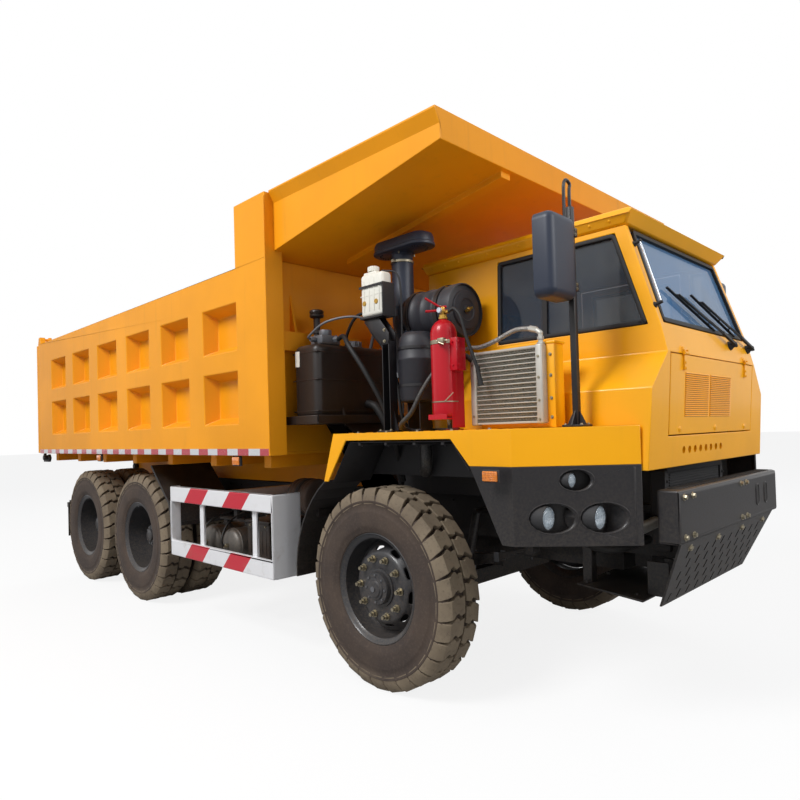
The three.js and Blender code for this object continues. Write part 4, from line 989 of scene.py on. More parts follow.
def wiperPieces():
    for index, (pivot, tip) in enumerate(zip(wiper["pivots"], wiper["tips"])):
        bm = bmesh.new()
        foot, normal = fromFront("cab_shell", *pivot)
        glass, glassNormal = fromFront("windscreen", *tip)
        end = glass + glassNormal * (wiper["clear"] + 0.012)
        hub = [(0.0, 0.045), (0.010, 0.045), (0.017, 0.038), (0.019, 0.02), (0.026, 0.012),
               (0.030, 0.0), (0.0, -0.004)]
        turnedAt(bm, hub, lay(foot, normal), 24)
        start = foot + normal * 0.034
        line = end - start
        place = lay(start, glassNormal, line)
        move(bm, block(bm, (-0.02, -0.012, -0.006), (0.16, 0.012, 0.008), 0), place)
        for offset in (-0.007, 0.007):
            rodAlong(bm, start + place.to_3x3() @ Vector((0.12, offset, 0.002)),
                     start + line * 0.74 + place.to_3x3() @ Vector((0, offset, 0.0)), 0.0042, 8)
        half = line.normalized() * wiper["blade"] / 2
        middle = start + line * 0.74
        inward = glassNormal * -0.016
        rodAlong(bm, middle - half * 0.62, middle + half * 0.62, 0.0075, 10)
        for share in (-0.62, -0.2, 0.2, 0.62):
            rodAlong(bm, middle + half * share, middle + half * share * 1.12 + inward, 0.0045, 8)
        blade = lay(middle + inward * 1.1, glassNormal, line)
        reach = wiper["blade"] / 2
        move(bm, block(bm, (-reach, -0.004, -0.008), (reach, 0.004, 0.006), 0), blade)
        piece(f"wiper_{index + 1}", bm, "rubber")


def cabDetails():
    for node in ("windscreen", "side_window_right", "quarter_window_left", "door_window_left"):
        sealRound(node)
    # the dividing bar of the right-hand sliding window
    bm = bmesh.new()
    spot, normal = touch("side_window_right", (3.1, -3, 2.3), (0, 1, 0))
    lowest, highest = low("side_window_right").z, high("side_window_right").z
    foot = touch("side_window_right", (3.095, -3, lowest + 0.02), (0, 1, 0))[0]
    head = touch("side_window_right", (3.095, -3, highest - 0.02), (0, 1, 0))[0]
    half = (head - foot).length / 2
    place = lay((foot + head) / 2 + normal * 0.004, normal, head - foot)
    move(bm, block(bm, (-half, -0.017, -0.004), (half, 0.017, 0.010), 0), place)
    piece("side_window_bar", bm, "rubber")
    louvreBlades()
    wiperPieces()
    # grab rail beside the windscreen, and the panel's turn buttons
    bm = bmesh.new()
    foot, normal = fromFront("cab_shell", -0.672, 2.2)
    head, upper = fromFront("cab_shell", -0.646, 2.545)
    rodAlong(bm, foot + normal * 0.034, head + upper * 0.034, 0.0055, 16)
    piece("windscreen_grab_rail", bm, "chrome")
    bm = bmesh.new()
    for spot, way in ((foot, normal), (head, upper)):
        rodAlong(bm, spot - way * 0.004, spot + way * 0.042, 0.009, 16)
        rodAlong(bm, spot - way * 0.002, spot + way * 0.006, 0.016, 20)
    piece("grab_rail_feet", bm, "rubber")
    bm = bmesh.new()
    for y in (-0.52, 0.0, 0.52):
        spot, normal = fromFront("front_panel", y, 1.556)
        place = lay(spot, normal)
        turnedAt(bm, [(0.0, 0.007), (0.012, 0.007), (0.016, 0.004), (0.019, 0.0), (0, -0.002)],
                 place, 24)
        move(bm, block(bm, (-0.010, -0.0016, 0.006), (0.010, 0.0016, 0.009), 0), place)
    piece("panel_turn_buttons", bm, "cabPaint", "front_panel")
    bm = bmesh.new()
    for y in (-0.49, 0.49):
        for z in (1.905, 1.875):
            spot, normal = fromFront("front_panel", y, z)
            turnedAt(bm, [(0.0, 0.006), (0.007, 0.005), (0.009, 0.0), (0, -0.002)],
                     lay(spot, normal), 6)
    piece("panel_hinge_screws", bm, "cabPaint", "front_panel")
    # a row of rivets along each edge of the roof
    bm = bmesh.new()
    roofLow = low("cab_roof")
    for i in range(12):
        x = roofLow.x + 0.08 + i * 0.118
        for side in (-1, 1):
            spot, normal = touch("cab_roof", (x, side * 3, roofLow.z + 0.03), (0, -side, 0))
            if spot:
                turnedAt(bm, [(0, 0.004), (0.006, 0.003), (0.009, 0.0), (0, -0.001)],
                         lay(spot, normal), 12)
    piece("roof_rivets", bm, "cabPaint")
    # handle of the left door
    bm = bmesh.new()
    spot, normal = touch("door_left", (2.76, 3, 1.985), (0, -1, 0))
    place = lay(spot, normal, (1, 0, 0))
    turnedAt(bm, [(0, 0.012), (0.03, 0.012), (0.038, 0.006), (0.042, 0), (0, -0.002)], place, 32)
    move(bm, block(bm, (-0.02, -0.012, 0.012), (0.13, 0.012, 0.032), 0), place)
    piece("door_handle", bm, "trim", "door_left")


cabDetails()
rounded("cab_shell", "cabPaint", 0.005, 2, 25)
print("cab ready")


# Headlamps: share along the slanted corner, height over the panel's foot, opening radius.
headlamps = {"corner": [(3.26, 1.285), (3.749, 0.897)], "foot": 0.998, "back": 0.062,
             "lamps": [(0.31, 0.138, 0.073), (0.71, 0.138, 0.073), (0.5, 0.324, 0.051)]}


def lampSpot(share, rise):
    (x1, y1), (x2, y2) = headlamps["corner"]
    return Vector((x1 + (x2 - x1) * share - headlamps["back"], y1 + (y2 - y1) * share,
                   headlamps["foot"] + rise))


def headlampPieces(word, side):
    bowls, glasses, rims = bmesh.new(), bmesh.new(), bmesh.new()
    for share, rise, opening in headlamps["lamps"]:
        at = lampSpot(share, rise)
        at.y *= side
        r = opening - 0.013
        bowl = [(0.0, 0.003), (r * 0.25, 0.003), (r * 0.3, 0.006), (r * 0.62, 0.014),
                (r * 0.86, 0.030), (r * 0.88, 0.034), (r * 0.94, 0.034), (r * 0.94, 0.002),
                (0.0, 0.002)]
        turned(bowls, bowl, "x", at, 40)
        rod(bowls, "x", r * 0.16, at.x + 0.003, at.x + 0.024, (at.y, at.z), 20, 0.003)
        dome = [(0.0, 0.050), (r * 0.3, 0.0485), (r * 0.6, 0.044), (r * 0.82, 0.037),
                (r * 0.93, 0.030), (r * 0.93, 0.027), (r * 0.8, 0.033), (r * 0.58, 0.040),
                (r * 0.3, 0.0445), (0.0, 0.046)]
        turned(glasses, dome, "x", at, 40)
        ring = [(r * 0.9, 0.030), (r * 0.93, 0.037), (r, 0.037), (r * 1.06, 0.030),
                (r * 1.08, 0.0), (r * 1.08, -0.03), (r, -0.03), (r * 0.95, 0.02)]
        turned(rims, ring, "x", at, 48, loop=True)
        for i in range(3):
            turn = math.radians(90 + 120 * i)
            bolt(rims, (at.x + 0.034, at.y + math.cos(turn) * r, at.z + math.sin(turn) * r), "x",
                 0.007)
    piece("headlamp_bowls_" + word, bowls, "clearLens")
    piece("headlamp_glasses_" + word, glasses, "lampGlass")
    piece("headlamp_rims_" + word, rims, "trim")
    # pressed edge round every opening, following the slanted plate
    (x1, y1), (x2, y2) = headlamps["corner"]
    across = Vector((x2 - x1, (y2 - y1) * side, 0)).normalized()
    out = across.cross(up)
    if out.y * side < 0:
        out.negate()
    bm = bmesh.new()
    for share, rise, opening in headlamps["lamps"]:
        at = lampSpot(share, rise)
        at = Vector((at.x + headlamps["back"], at.y * side, at.z))
        wide, tall = opening / abs(across.y) + 0.004, opening + 0.004
        wire(bm, [at + across * c * wide + up * s * tall for c, s in circle(56)], 0.0025)
    piece("lamp_panel_rims_" + word, bm, "blackPaint")


markerLamp = {"spot": (3.178, 1.351), "size": (0.09, 0.052)}


def sideMarker(word, side):
    x, z = markerLamp["spot"]
    wide, tall = markerLamp["size"]
    face = side * high("lamp_panel_left").y
    bm = bmesh.new()
    block(bm, (x - wide / 2 - 0.006, face - side * 0.001, z - tall / 2 - 0.006),
          (x + wide / 2 + 0.006, face + side * 0.01, z + tall / 2 + 0.006), 0.004, 2)
    piece("side_marker_base_" + word, bm, "trim")
    bm = bmesh.new()
    block(bm, (x - wide / 2, face + side * 0.009, z - tall / 2),
          (x + wide / 2, face + side * 0.024, z + tall / 2), 0.006, 3)
    for i in range(5):
        rib = z - tall * 0.36 + i * tall * 0.18
        block(bm, (x - wide * 0.42, face + side * 0.0225, rib - 0.0025),
              (x + wide * 0.42, face + side * 0.0255, rib + 0.0025), 0.001, 1)
    piece("side_marker_lens_" + word, bm, "amberLens")


front = {"bolts": [(-0.748, 1.226), (-0.64, 1.226), (-0.748, 1.03), (-0.64, 1.03),
                   (0.1, 1.226), (0.19, 1.226), (0.1, 1.03), (0.19, 1.03)],
         "slots": [(0.396, 1.135), (0.56, 1.135)], "slotWide": 0.052, "slotTall": 0.075}


def bumperDetails():
    face = high("bumper").x
    bm = bmesh.new()
    bolts(bm, [(face, y, z) for y, z in front["bolts"]], "x", 0.023)
    piece("bumper_bolts", bm, "zinc")
    bm = bmesh.new()
    dark = bmesh.new()
    for y, z in front["slots"]:
        wide, tall = front["slotWide"] / 2, front["slotTall"] / 2
        outline = [Vector((face, y + c * wide, z + (s * wide + (tall if s > 0 else -tall))))
                   for c, s in circle(32)]
        wire(bm, outline, 0.005)
        prism(dark, [Vector((face + 0.0008, p.y, p.z)) for p in outline], (0.0006, 0, 0))
    piece("bumper_slot_rims", bm, "blackPaint")
    piece("bumper_slot_shadows", dark, "rubber")
    # step tread along the bumper's top and the tray under the radiator
    bm = bmesh.new()
    top = high("bumper").z
    for i in range(38):
        y = -0.72 + i * 0.039
        block(bm, (face - 0.095, y, top - 0.001), (face - 0.025, y + 0.014, top + 0.004),
              0.0015, 1)
    piece("bumper_step_ribs", bm, "trim")
    bm = bmesh.new()
    foot = low("skid_plate")
    outline = [(foot.x + 0.012, -0.642, foot.z + 0.004), (foot.x + 0.012, 0.642, foot.z + 0.004),
               (foot.x - 0.40, 0.60, foot.z + 0.03), (foot.x - 0.40, -0.60, foot.z + 0.03)]
    prism(bm, outline, (0, 0, 0.012), 0.003)
    for y in (-0.50, 0.50):
        block(bm, (foot.x - 0.40, y - 0.03, foot.z + 0.03), (foot.x - 0.34, y + 0.03, 0.99),
              0.004, 1)
        block(bm, (foot.x - 0.02, y - 0.008, foot.z + 0.012),
              (foot.x + 0.1, y + 0.008, foot.z + 0.2), 0.002, 1)
    for y in (-0.56, -0.3, 0.3, 0.56):
        bolt(bm, (foot.x - 0.06, y, foot.z + 0.018), "z", 0.018)
        bolt(bm, (foot.x - 0.36, y, foot.z + 0.044), "z", 0.018)
    piece("radiator_tray", bm, "blackPaint")
    bm = bmesh.new()
    for y in (-0.6, -0.2, 0.2, 0.6):
        spot, normal = fromFront("skid_plate", y, 0.955)
        if spot:
            turnedAt(bm, [(0, 0.012), (0.014, 0.012), (0.016, 0.002), (0.024, 0.0), (0, -0.002)],
                     lay(spot, normal), 6)
    piece("skid_plate_bolts", bm, "zinc")


skid = {"foot": 0.642, "head": 0.760, "thick": 0.013, "columns": 10, "pitch": 0.125,
        "rows": [0.682, 0.742, 0.802, 0.862, 0.922], "tall": 0.046, "wide": 0.019, "lean": 0.010,
        "rake": 0.160, "stayAt": 0.33,
        "stay": [(3.699, 0.660), (3.705, 0.655), (3.727, 0.83), (3.600, 0.83)]}


# The slotted plate under the bumper; every slot is cut right through it.
def skidPlate():
    first, last = low("skid_plate"), high("skid_plate")
    foot, head = last.x - skid["rake"], last.x
    bm = bmesh.new()
    outline = [(foot, -skid["foot"], first.z), (foot, skid["foot"], first.z),
               (head, skid["head"], last.z), (head, -skid["head"], last.z)]
    prism(bm, outline, (-skid["thick"], 0, 0), 0.002, 1)
    made = piece("skid_plate_skin", bm, "blackPaint")
    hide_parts("skid_plate")
    bm = bmesh.new()
    for side in (-1, 1):
        prism(bm, [(x, side * skid["stayAt"], z) for x, z in skid["stay"]],
              (0, side * 0.015, 0), 0.002, 1)
    piece("skid_plate_stays", bm, "blackPaint")
    slots = bmesh.new()
    half, lean, wide = skid["tall"] / 2, skid["lean"] / 2, skid["wide"] / 2
    for row, z in enumerate(skid["rows"]):
        for i in range(skid["columns"]):
            y = (i - (skid["columns"] - 1) / 2 + row % 2 * 0.5 - 0.25) * skid["pitch"]
            prism(slots, [(3.62, y - lean - wide, z - half), (3.62, y - lean + wide, z - half),
                          (3.62, y + lean + wide, z + half), (3.62, y + lean - wide, z + half)],
                  (0.4, 0, 0))
    bmesh.ops.recalc_face_normals(slots, faces=slots.faces)
    mesh = bpy.data.meshes.new("slots")
    slots.to_mesh(mesh)
    slots.free()
    cutter = bpy.data.objects.new("slots", mesh)
    scene.collection.objects.link(cutter)
    cut = made.modifiers.new("slots", "BOOLEAN")
    cut.operation, cut.solver, cut.object = "DIFFERENCE", "EXACT", cutter
    graph = bpy.context.evaluated_depsgraph_get()
    done = bpy.data.meshes.new_from_object(made.evaluated_get(graph))
    made.modifiers.clear()
    made.data = done
    done.polygons.foreach_set("use_smooth", [False] * len(done.polygons))
    bpy.data.objects.remove(cutter)


# Radiator core and frame, with a hose and a charge-air pipe, seen through the gap over the bumper
# and under the cab.
def radiatorPieces():
    bm = bmesh.new()
    block(bm, (3.60, -0.40, 0.92), (3.665, 0.40, 1.34), 0.004, 1)
    for i in range(26):
        z = 0.945 + i * 0.0148
        block(bm, (3.664, -0.38, z), (3.672, 0.38, z + 0.006), 0, 1)
    piece("radiator_core", bm, "trim")
    bm = bmesh.new()
    for z in (0.905, 1.335):
        block(bm, (3.585, -0.43, z - 0.022), (3.68, 0.43, z + 0.022), 0.008, 2)
    for y in (-0.43, 0.43):
        block(bm, (3.59, y - 0.018, 0.92), (3.675, y + 0.018, 1.33), 0.004, 1)
        for z in (0.98, 1.12, 1.27):
            bolt(bm, (3.675, y, z), "x", 0.013)
    piece("radiator_frame", bm, "chassisPaint")
    pipe("radiator_hose", [(3.60, -0.33, 0.96), (3.52, -0.42, 0.93), (3.44, -0.56, 0.90),
                           (3.30, -0.57, 0.90), (3.2, -0.5, 0.93)], 0.026, "rubber")
    pipe("charge_air_pipe", [(3.62, -0.46, 1.05), (3.58, -0.62, 1.02), (3.48, -0.70, 0.98),
                             (3.35, -0.70, 0.98)], 0.032, "aluminium")


for word, side in hands:
    headlampPieces(word, side)
    sideMarker(word, side)
bumperDetails()
skidPlate()
radiatorPieces()


# Black liner plates over each front wheel.
arch = {"line": [(2.965, 1.372), (2.846, 1.530), (1.985, 1.530), (1.80, 1.262)], "thick": 0.006,
        "inner": 0.926, "outer": 1.262, "deep": 0.60}


def archLiner(word, side):
    line, thick = arch["line"], arch["thick"]
    bm = bmesh.new()
    for (x1, z1), (x2, z2) in zip(line, line[1:]):
        outline = [(x1, side * arch["inner"], z1), (x2, side * arch["inner"], z2),
                   (x2, side * arch["inner"], z2 - thick), (x1, side * arch["inner"], z1 - thick)]
        prism(bm, outline, (0, side * (arch["outer"] - arch["inner"]), 0), 0.0015, 1)
    x1, x2 = line[-1][0], line[0][0]
    for y, foot in ((arch["inner"], 1.30), (arch["deep"], 1.15)):
        block(bm, (x1 + 0.005, side * y - 0.003, foot), (x2, side * y + 0.003, 1.535), 0.0015, 1)
    block(bm, (x1 + 0.005, side * arch["deep"], 1.528), (x2, side * arch["inner"], 1.534),
          0.0015, 1)
    for x in (2.08, 2.32, 2.56, 2.78):
        block(bm, (x - 0.012, side * arch["inner"], 1.506),
              (x + 0.012, side * arch["outer"], 1.524), 0.003, 1)
        bolt(bm, (x, side * (arch["outer"] - 0.03), 1.506), "z", 0.013, -1)
    bolts(bm, [(x, side * arch["inner"], 1.36) for x in (1.86, 2.9)], "y", 0.015, side)
    piece("arch_liner_" + word, bm, "chassisPaint")


for word, side in hands:
    archLiner(word, side)
# From the air canister down under the deck to the engine.
pipe("intake_duct", [(2.40, -0.99, 1.524), (2.40, -0.99, 1.45), (2.395, -0.985, 1.38),
                     (2.36, -0.955, 1.335), (2.29, -0.89, 1.322), (2.18, -0.78, 1.325),
                     (2.05, -0.61, 1.34)], 0.036, "ribbedHose")

deckGrip = {"pitch": 0.085, "long": 0.034, "wide": 0.008}


# Raised chequer lozenges on the deck tops, and the bolts along the outer edge.
def deckDetails(word, side):
    top = high("deck_right").z
    bm = bmesh.new()
    pitch = deckGrip["pitch"]
    for i in range(20):
        for j in range(4):
            x = 1.92 + i * pitch
            y = 0.935 + j * pitch
            if x > 3.26 - (y - 1.0):
                continue
            turn = Matrix.Rotation(math.radians(45 if (i + j) % 2 else -45), 4, "Z")
            verts = block(bm, (-deckGrip["long"] / 2, -deckGrip["wide"] / 2, -0.001),
                          (deckGrip["long"] / 2, deckGrip["wide"] / 2, 0.0022), 0)
            move(bm, verts, Matrix.Translation((x, side * y, top)) @ turn)
    piece("deck_grip_" + word, bm, "cabPaint")
    bm = bmesh.new()
    edge = side * high("deck_left").y
    bolts(bm, [(x, edge - side * 0.035, top) for x in (2.06, 2.32, 2.58, 2.84, 3.1)], "z", 0.014)
    piece("deck_bolts_" + word, bm, "zinc")


for word, side in hands:
    deckDetails(word, side)
print("front end ready")


# Gear on the right-hand deck, each piece standing in for its frame node.
tank = {"seam": 0.52, "round": 0.05, "lid": [1.44, 1.585]}


def hydraulicTank():
    first = low("hydraulic_tank")
    x1, x2 = 1.372, 1.652
    y1, y2 = first.y + 0.04, -0.52
    z1, z2 = 1.69, 2.213
    bm = bmesh.new()
    block(bm, (x1, y1, z1), (x2, y2, z2), tank["round"], 6)
    middle = z1 + (z2 - z1) * tank["seam"]
    bead = bmesh.new()
    block(bead, (x1 - 0.003, y1 - 0.003, middle - 0.004),
          (x2 + 0.003, y2 + 0.003, middle + 0.004), 0.0038, 2)
    # pressed bead a little above the foot and below the top
    for z in (z1 + 0.055, z2 - 0.06):
        block(bead, (x1 - 0.002, y1 - 0.002, z - 0.005), (x2 + 0.002, y2 + 0.002, z + 0.005),
              0.0045, 2)
    made = piece("hydraulic_tank_body", bm, "blackTank", sharp=60)
    piece("hydraulic_tank_beads", bead, "blackTank")
    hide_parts("hydraulic_tank")
    # shelf, folded lip and bracket legs
    bm = bmesh.new()
    block(bm, (1.29, first.y, 1.656), (1.70, -0.50, 1.672), 0.003, 1)
    block(bm, (1.29, first.y, 1.665), (1.70, first.y + 0.012, 1.715), 0.003, 1)
    block(bm, (1.688, first.y, 1.665), (1.70, -0.50, 1.715), 0.003, 1)
    block(bm, (1.39, first.y + 0.05, 1.67), (1.64, -0.56, 1.694), 0.002, 1)
    for x in (1.40, 1.60):
        prism(bm, [(x, -0.5, 1.66), (x, -1.0, 1.66), (x, -0.45, 1.13), (x, -0.402, 1.13),
                   (x, -0.402, 0.92), (x, -0.47, 0.92)], (0.014, 0, 0), 0.002)
    for y in (-1.05, -0.72):
        prism(bm, [(1.664, y, 1.672), (1.70, y, 1.672), (1.70, y, 1.69), (1.664, y, 1.77)],
              (0, 0.012, 0), 0.001)
    piece("hydraulic_tank_shelf", bm, "blackTank")
    bm = bmesh.new()
    bolts(bm, [(1.676, y, 1.672) for y in (-1.2, -0.95, -0.7, -0.55)], "z", 0.014)
    bolts(bm, [(x, y, z2) for x in tank["lid"] for y in (y1 + 0.1, y2 - 0.08)], "z", 0.012)
    piece("hydraulic_tank_bolts", bm, "zinc")
    # mushroom breather and its neck
    at = Vector((1.45, -1.09, 0))
    bm = bmesh.new()
    profile = [(0.0, 2.478), (0.044, 2.478), (0.05, 2.472), (0.052, 2.462), (0.047, 2.458),
               (0.052, 2.452), (0.047, 2.447), (0.052, 2.440), (0.050, 2.430), (0.040, 2.424),
               (0.026, 2.418), (0.024, 2.41), (0.024, 2.33), (0.03, 2.326), (0.03, 2.31),
               (0.024, 2.306), (0.024, 2.235), (0.046, 2.23), (0.048, 2.212), (0.0, 2.21)]
    turned(bm, profile, "z", at, 40)
    piece("tank_breather", bm, "blackTank")
    bm = bmesh.new()
    at = Vector((1.53, -0.82, 0))
    profile = [(0.0, 2.262), (0.05, 2.262), (0.058, 2.256), (0.06, 2.24), (0.06, 2.226),
               (0.07, 2.222), (0.07, 2.21), (0.0, 2.208)]
    turned(bm, profile, "z", at, 36)
    knurl(bm, at, 0.0595, 12, 0.005, 2.228, 2.258, 8)
    piece("tank_filler_cap", bm, "greyPaint")
    # return filter head with its ports
    bm = bmesh.new()
    block(bm, (1.50, -1.19, 2.21), (1.63, -1.02, 2.275), 0.012, 3)
    rod(bm, "z", 0.044, 2.27, 2.318, (1.565, -1.105), 32, 0.006)
    rod(bm, "x", 0.022, 1.60, 1.672, (-1.075, 2.245), 6, 0.002)
    rod(bm, "y", 0.019, -1.235, -1.18, (1.565, 2.245), 6, 0.002)
    bolts(bm, [(1.565 + dx, -1.105 + dy, 2.275) for dy in (-0.06, 0.06) for dx in (-0.045, 0.045)],
          "z", 0.011)
    piece("tank_filter_head", bm, "greyPaint")
    # a sight plate on the outer face, left blank
    bm = bmesh.new()
    block(bm, (1.405, y1 - 0.003, 2.06), (1.452, y1 + 0.002, 2.17), 0.0015, 1)
    piece("tank_sight_plate", bm, "whiteTank")
    pipe("tank_return_hose", [(1.672, -1.075, 2.245), (1.76, -1.10, 2.25), (1.90, -1.17, 2.16),
                              (2.02, -1.14, 1.98), (2.10, -1.06, 1.75), (2.12, -0.98, 1.50),
                              (2.0, -0.8, 1.25)], 0.017, "rubber")
    pipe("tank_suction_hose", [(1.652, -0.80, 1.80), (1.74, -0.79, 1.76), (1.80, -0.74, 1.60),
                               (1.78, -0.62, 1.30), (1.70, -0.50, 1.10)], 0.03, "rubber")
    pipe("tank_bleed_pipe", [(1.565, -1.235, 2.245), (1.60, -1.27, 2.26), (1.74, -1.23, 2.34),
                             (1.92, -1.12, 2.36), (2.04, -1.0, 2.28)], 0.008, "greyPaint")
    pipe("tank_level_line", [(1.60, -0.95, 2.20), (1.66, -0.98, 2.30), (1.80, -1.0, 2.40),
                             (1.98, -0.98, 2.39), (2.10, -0.96, 2.36)], 0.011, "rubber")
    pipe("tank_pilot_line", [(1.58, -0.70, 2.20), (1.66, -0.72, 2.33), (1.82, -0.80, 2.36),
                             (1.98, -0.86, 2.22), (2.06, -0.88, 1.95)], 0.012, "greyPaint")


cleaner = {"drum": (2.24, 2.668), "at": (-0.88, 2.319), "radius": 0.165}
cap = {"at": (2.19, -0.925), "bottom": 2.768, "top": 2.862, "radius": 0.100, "apart": 0.145,
       "mesh": 0.065}


def airCleaner():
    y, z = cleaner["at"]
    start, end = cleaner["drum"]
    r = cleaner["radius"]
    spot = Vector((0, y, z))
    bm = bmesh.new()
    profile = [(0.0, start), (r * 0.8, start), (r * 0.94, start + 0.012), (r * 0.97, start + 0.03)]
    for k in range(3):
        x = start + 0.10 + k * 0.09
        profile += [(r * 0.97, x - 0.014), (r * 0.99, x - 0.008), (r * 0.99, x + 0.008),
                    (r * 0.97, x + 0.014)]
    profile += [(r * 0.97, end - 0.07), (r, end - 0.066), (r, end - 0.012),
                (r * 0.985, end - 0.002), (r * 0.95, end), (r * 0.92, end - 0.014),
                (r * 0.74, end - 0.006), (r * 0.70, end + 0.006), (r * 0.42, end + 0.010),
                (r * 0.38, end + 0.004), (r * 0.16, end + 0.004), (r * 0.13, end + 0.012),
                (0.0, end + 0.012)]
    turned(bm, profile, "x", spot, 64)
    made = piece("air_cleaner_drum", bm, "filterPaint")
    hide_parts("air_cleaner")
    bm = bmesh.new()
    rod(bm, "x", 0.0065, end + 0.01, end + 0.034, (y, z), 14)
    turned(bm, [(0.0, end + 0.03), (0.013, end + 0.028), (0.015, end + 0.02), (0.013, end + 0.012),
                (0.0, end + 0.01)], "x", spot, 20)
    for wing in (-1, 1):
        verts = block(bm, (-0.004, 0.006, -0.0065), (0.012, 0.032, 0.0065), 0)
        turn = Matrix.Rotation(math.radians(25 if wing > 0 else 205), 4, "X")
        move(bm, verts, Matrix.Translation((end + 0.018, y, z)) @ turn)
    piece("air_cleaner_wing_nut", bm, "brass")
    bm = bmesh.new()
    for x in (start + 0.055, end - 0.13):
        strap(bm, "x", spot, r + 0.001, r + 0.005, x, 0.03, 64)
        block(bm, (x, y - 0.09, z - r - 0.055), (x + 0.03, y + 0.09, z - r + 0.02), 0.003, 1)
        block(bm, (x, y - 0.06, 1.60), (x + 0.03, y - 0.045, z - r - 0.03), 0.002, 1)
        block(bm, (x, y + 0.045, 1.60), (x + 0.03, y + 0.06, z - r - 0.03), 0.002, 1)
        bolt(bm, (x + 0.015, y - 0.09, z - r - 0.03), "y", 0.012, -1)
    block(bm, (start + 0.04, y - 0.075, onDeck), (end - 0.08, y + 0.075, 1.60), 0.003, 1)
    piece("air_cleaner_straps", bm, "blackTank")
    # intake stack with its rolled joint, and the pill-shaped rain cap
    at = Vector((2.15, -0.90, 0))
    bm = bmesh.new()
    stack = [(0.066, 2.235), (0.070, 2.24), (0.072, 2.25), (0.072, 2.40), (0.0745, 2.405),
             (0.0745, 2.415), (0.072, 2.42), (0.072, 2.755), (0.077, 2.760), (0.077, 2.790),
             (0.066, 2.79)]
    turned(bm, stack, "z", at, 48, loop=True)
    elbow = [(0.0, 2.13), (0.06, 2.13), (0.072, 2.142), (0.072, 2.20), (0.078, 2.205),
             (0.078, 2.225), (0.072, 2.23), (0.072, 2.26), (0.0, 2.26)]
    turned(bm, elbow, "x", Vector((0, -0.895, 2.31)), 48)
    piece("intake_stack", bm, "navyPlastic")
    bm = bmesh.new()
    capShape(bm, cap["bottom"], cap["top"], cap["radius"])
    piece("intake_cap", bm, "navyPlastic")
    bm = bmesh.new()
    for spot in pill(cap["mesh"], 0.13, 22):
        rod(bm, "z", 0.004, 2.762, 2.80, spot, 6)
    piece("intake_cap_mesh", bm, "trim")
    bm = bmesh.new()
    for angle in (-60, 60, 180):
        turn = math.radians(angle)
        rod(bm, "z", 0.006, 2.755, 2.775, (2.15 + 0.083 * math.cos(turn),
                                           -0.90 + 0.083 * math.sin(turn)), 8)
    turned(bm, [(0.074, 2.70), (0.078, 2.702), (0.078, 2.716), (0.074, 2.718)], "z", at, 48,
           loop=True)
    block(bm, (2.15 - 0.012, -0.90 - 0.094, 2.699), (2.15 + 0.012, -0.90 - 0.072, 2.719), 0.002, 1)
    piece("intake_clamp", bm, "zinc")
    # dark canister below, with its slanted shoulder
    at = Vector((2.39, -1.025, 0))
    bm = bmesh.new()
    canister = [(0.0, 1.765), (0.088, 1.765), (0.112, 1.775), (0.120, 1.79), (0.1205, 1.81),
                (0.124, 1.815), (0.124, 2.02), (0.1265, 2.024), (0.1265, 2.036), (0.124, 2.04),
                (0.122, 2.12), (0.112, 2.17), (0.086, 2.198), (0.074, 2.20), (0.0, 2.20)]
    turned(bm, canister, "z", at, 56)
    piece("air_canister", bm, "filterPaint")
    bm = bmesh.new()
    block(bm, (2.33, -1.085, onDeck), (2.45, -0.965, 1.60), 0.003, 1)
    for x in (2.335, 2.437):
        block(bm, (x, -1.08, 1.595), (x + 0.008, -0.97, 1.79), 0.002, 1)
    for z in (1.86, 2.09):
        strap(bm, "z", at, 0.1245, 0.129, z, 0.018)
    piece("air_canister_bracket", bm, "blackPaint")
    duct = [(2.15, -0.90, 2.40), (2.16, -0.905, 2.30), (2.24, -0.95, 2.20), (2.36, -1.01, 2.12)]
    pipe("air_canister_neck", duct, 0.080, "navyPlastic")
    bm = bmesh.new()
    prism(bm, [(2.205, -1.04, 2.33), (2.205, -1.04, 1.98), (2.30, -1.04, 1.80),
               (2.325, -1.04, 1.80), (2.325, -1.04, 2.10), (2.24, -1.04, 2.33)], (0, 0.008, 0),
          0.002)
    piece("stack_gusset", bm, "filterPaint")


# Points round a pill in plan: two half circles drawn apart along x.
def pill(radius, apart, count):
    x, y = cap["at"]
    return [(x + c * radius + (apart if c > 0 else -apart), y + s * radius)
            for c, s in circle(count)]


# The rain cap, domed on top with a lip below.
def capShape(bm, bottom, top, radius):
    levels = [(bottom, radius * 0.92), (bottom + 0.006, radius), (bottom + 0.022, radius),
              (bottom + 0.028, radius * 0.94), (top - 0.034, radius * 0.94),
              (top - 0.012, radius * 0.84), (top - 0.002, radius * 0.6), (top, radius * 0.3)]
    rings = [[bm.verts.new((*spot, z)) for spot in pill(r, cap["apart"], 40)] for z, r in levels]
    for below, above in zip(rings, rings[1:]):
        for i in range(40):
            j = (i + 1) % 40
            bm.faces.new((below[i], below[j], above[j], above[i]))
    bm.faces.new(rings[0][::-1])
    bm.faces.new(rings[-1])


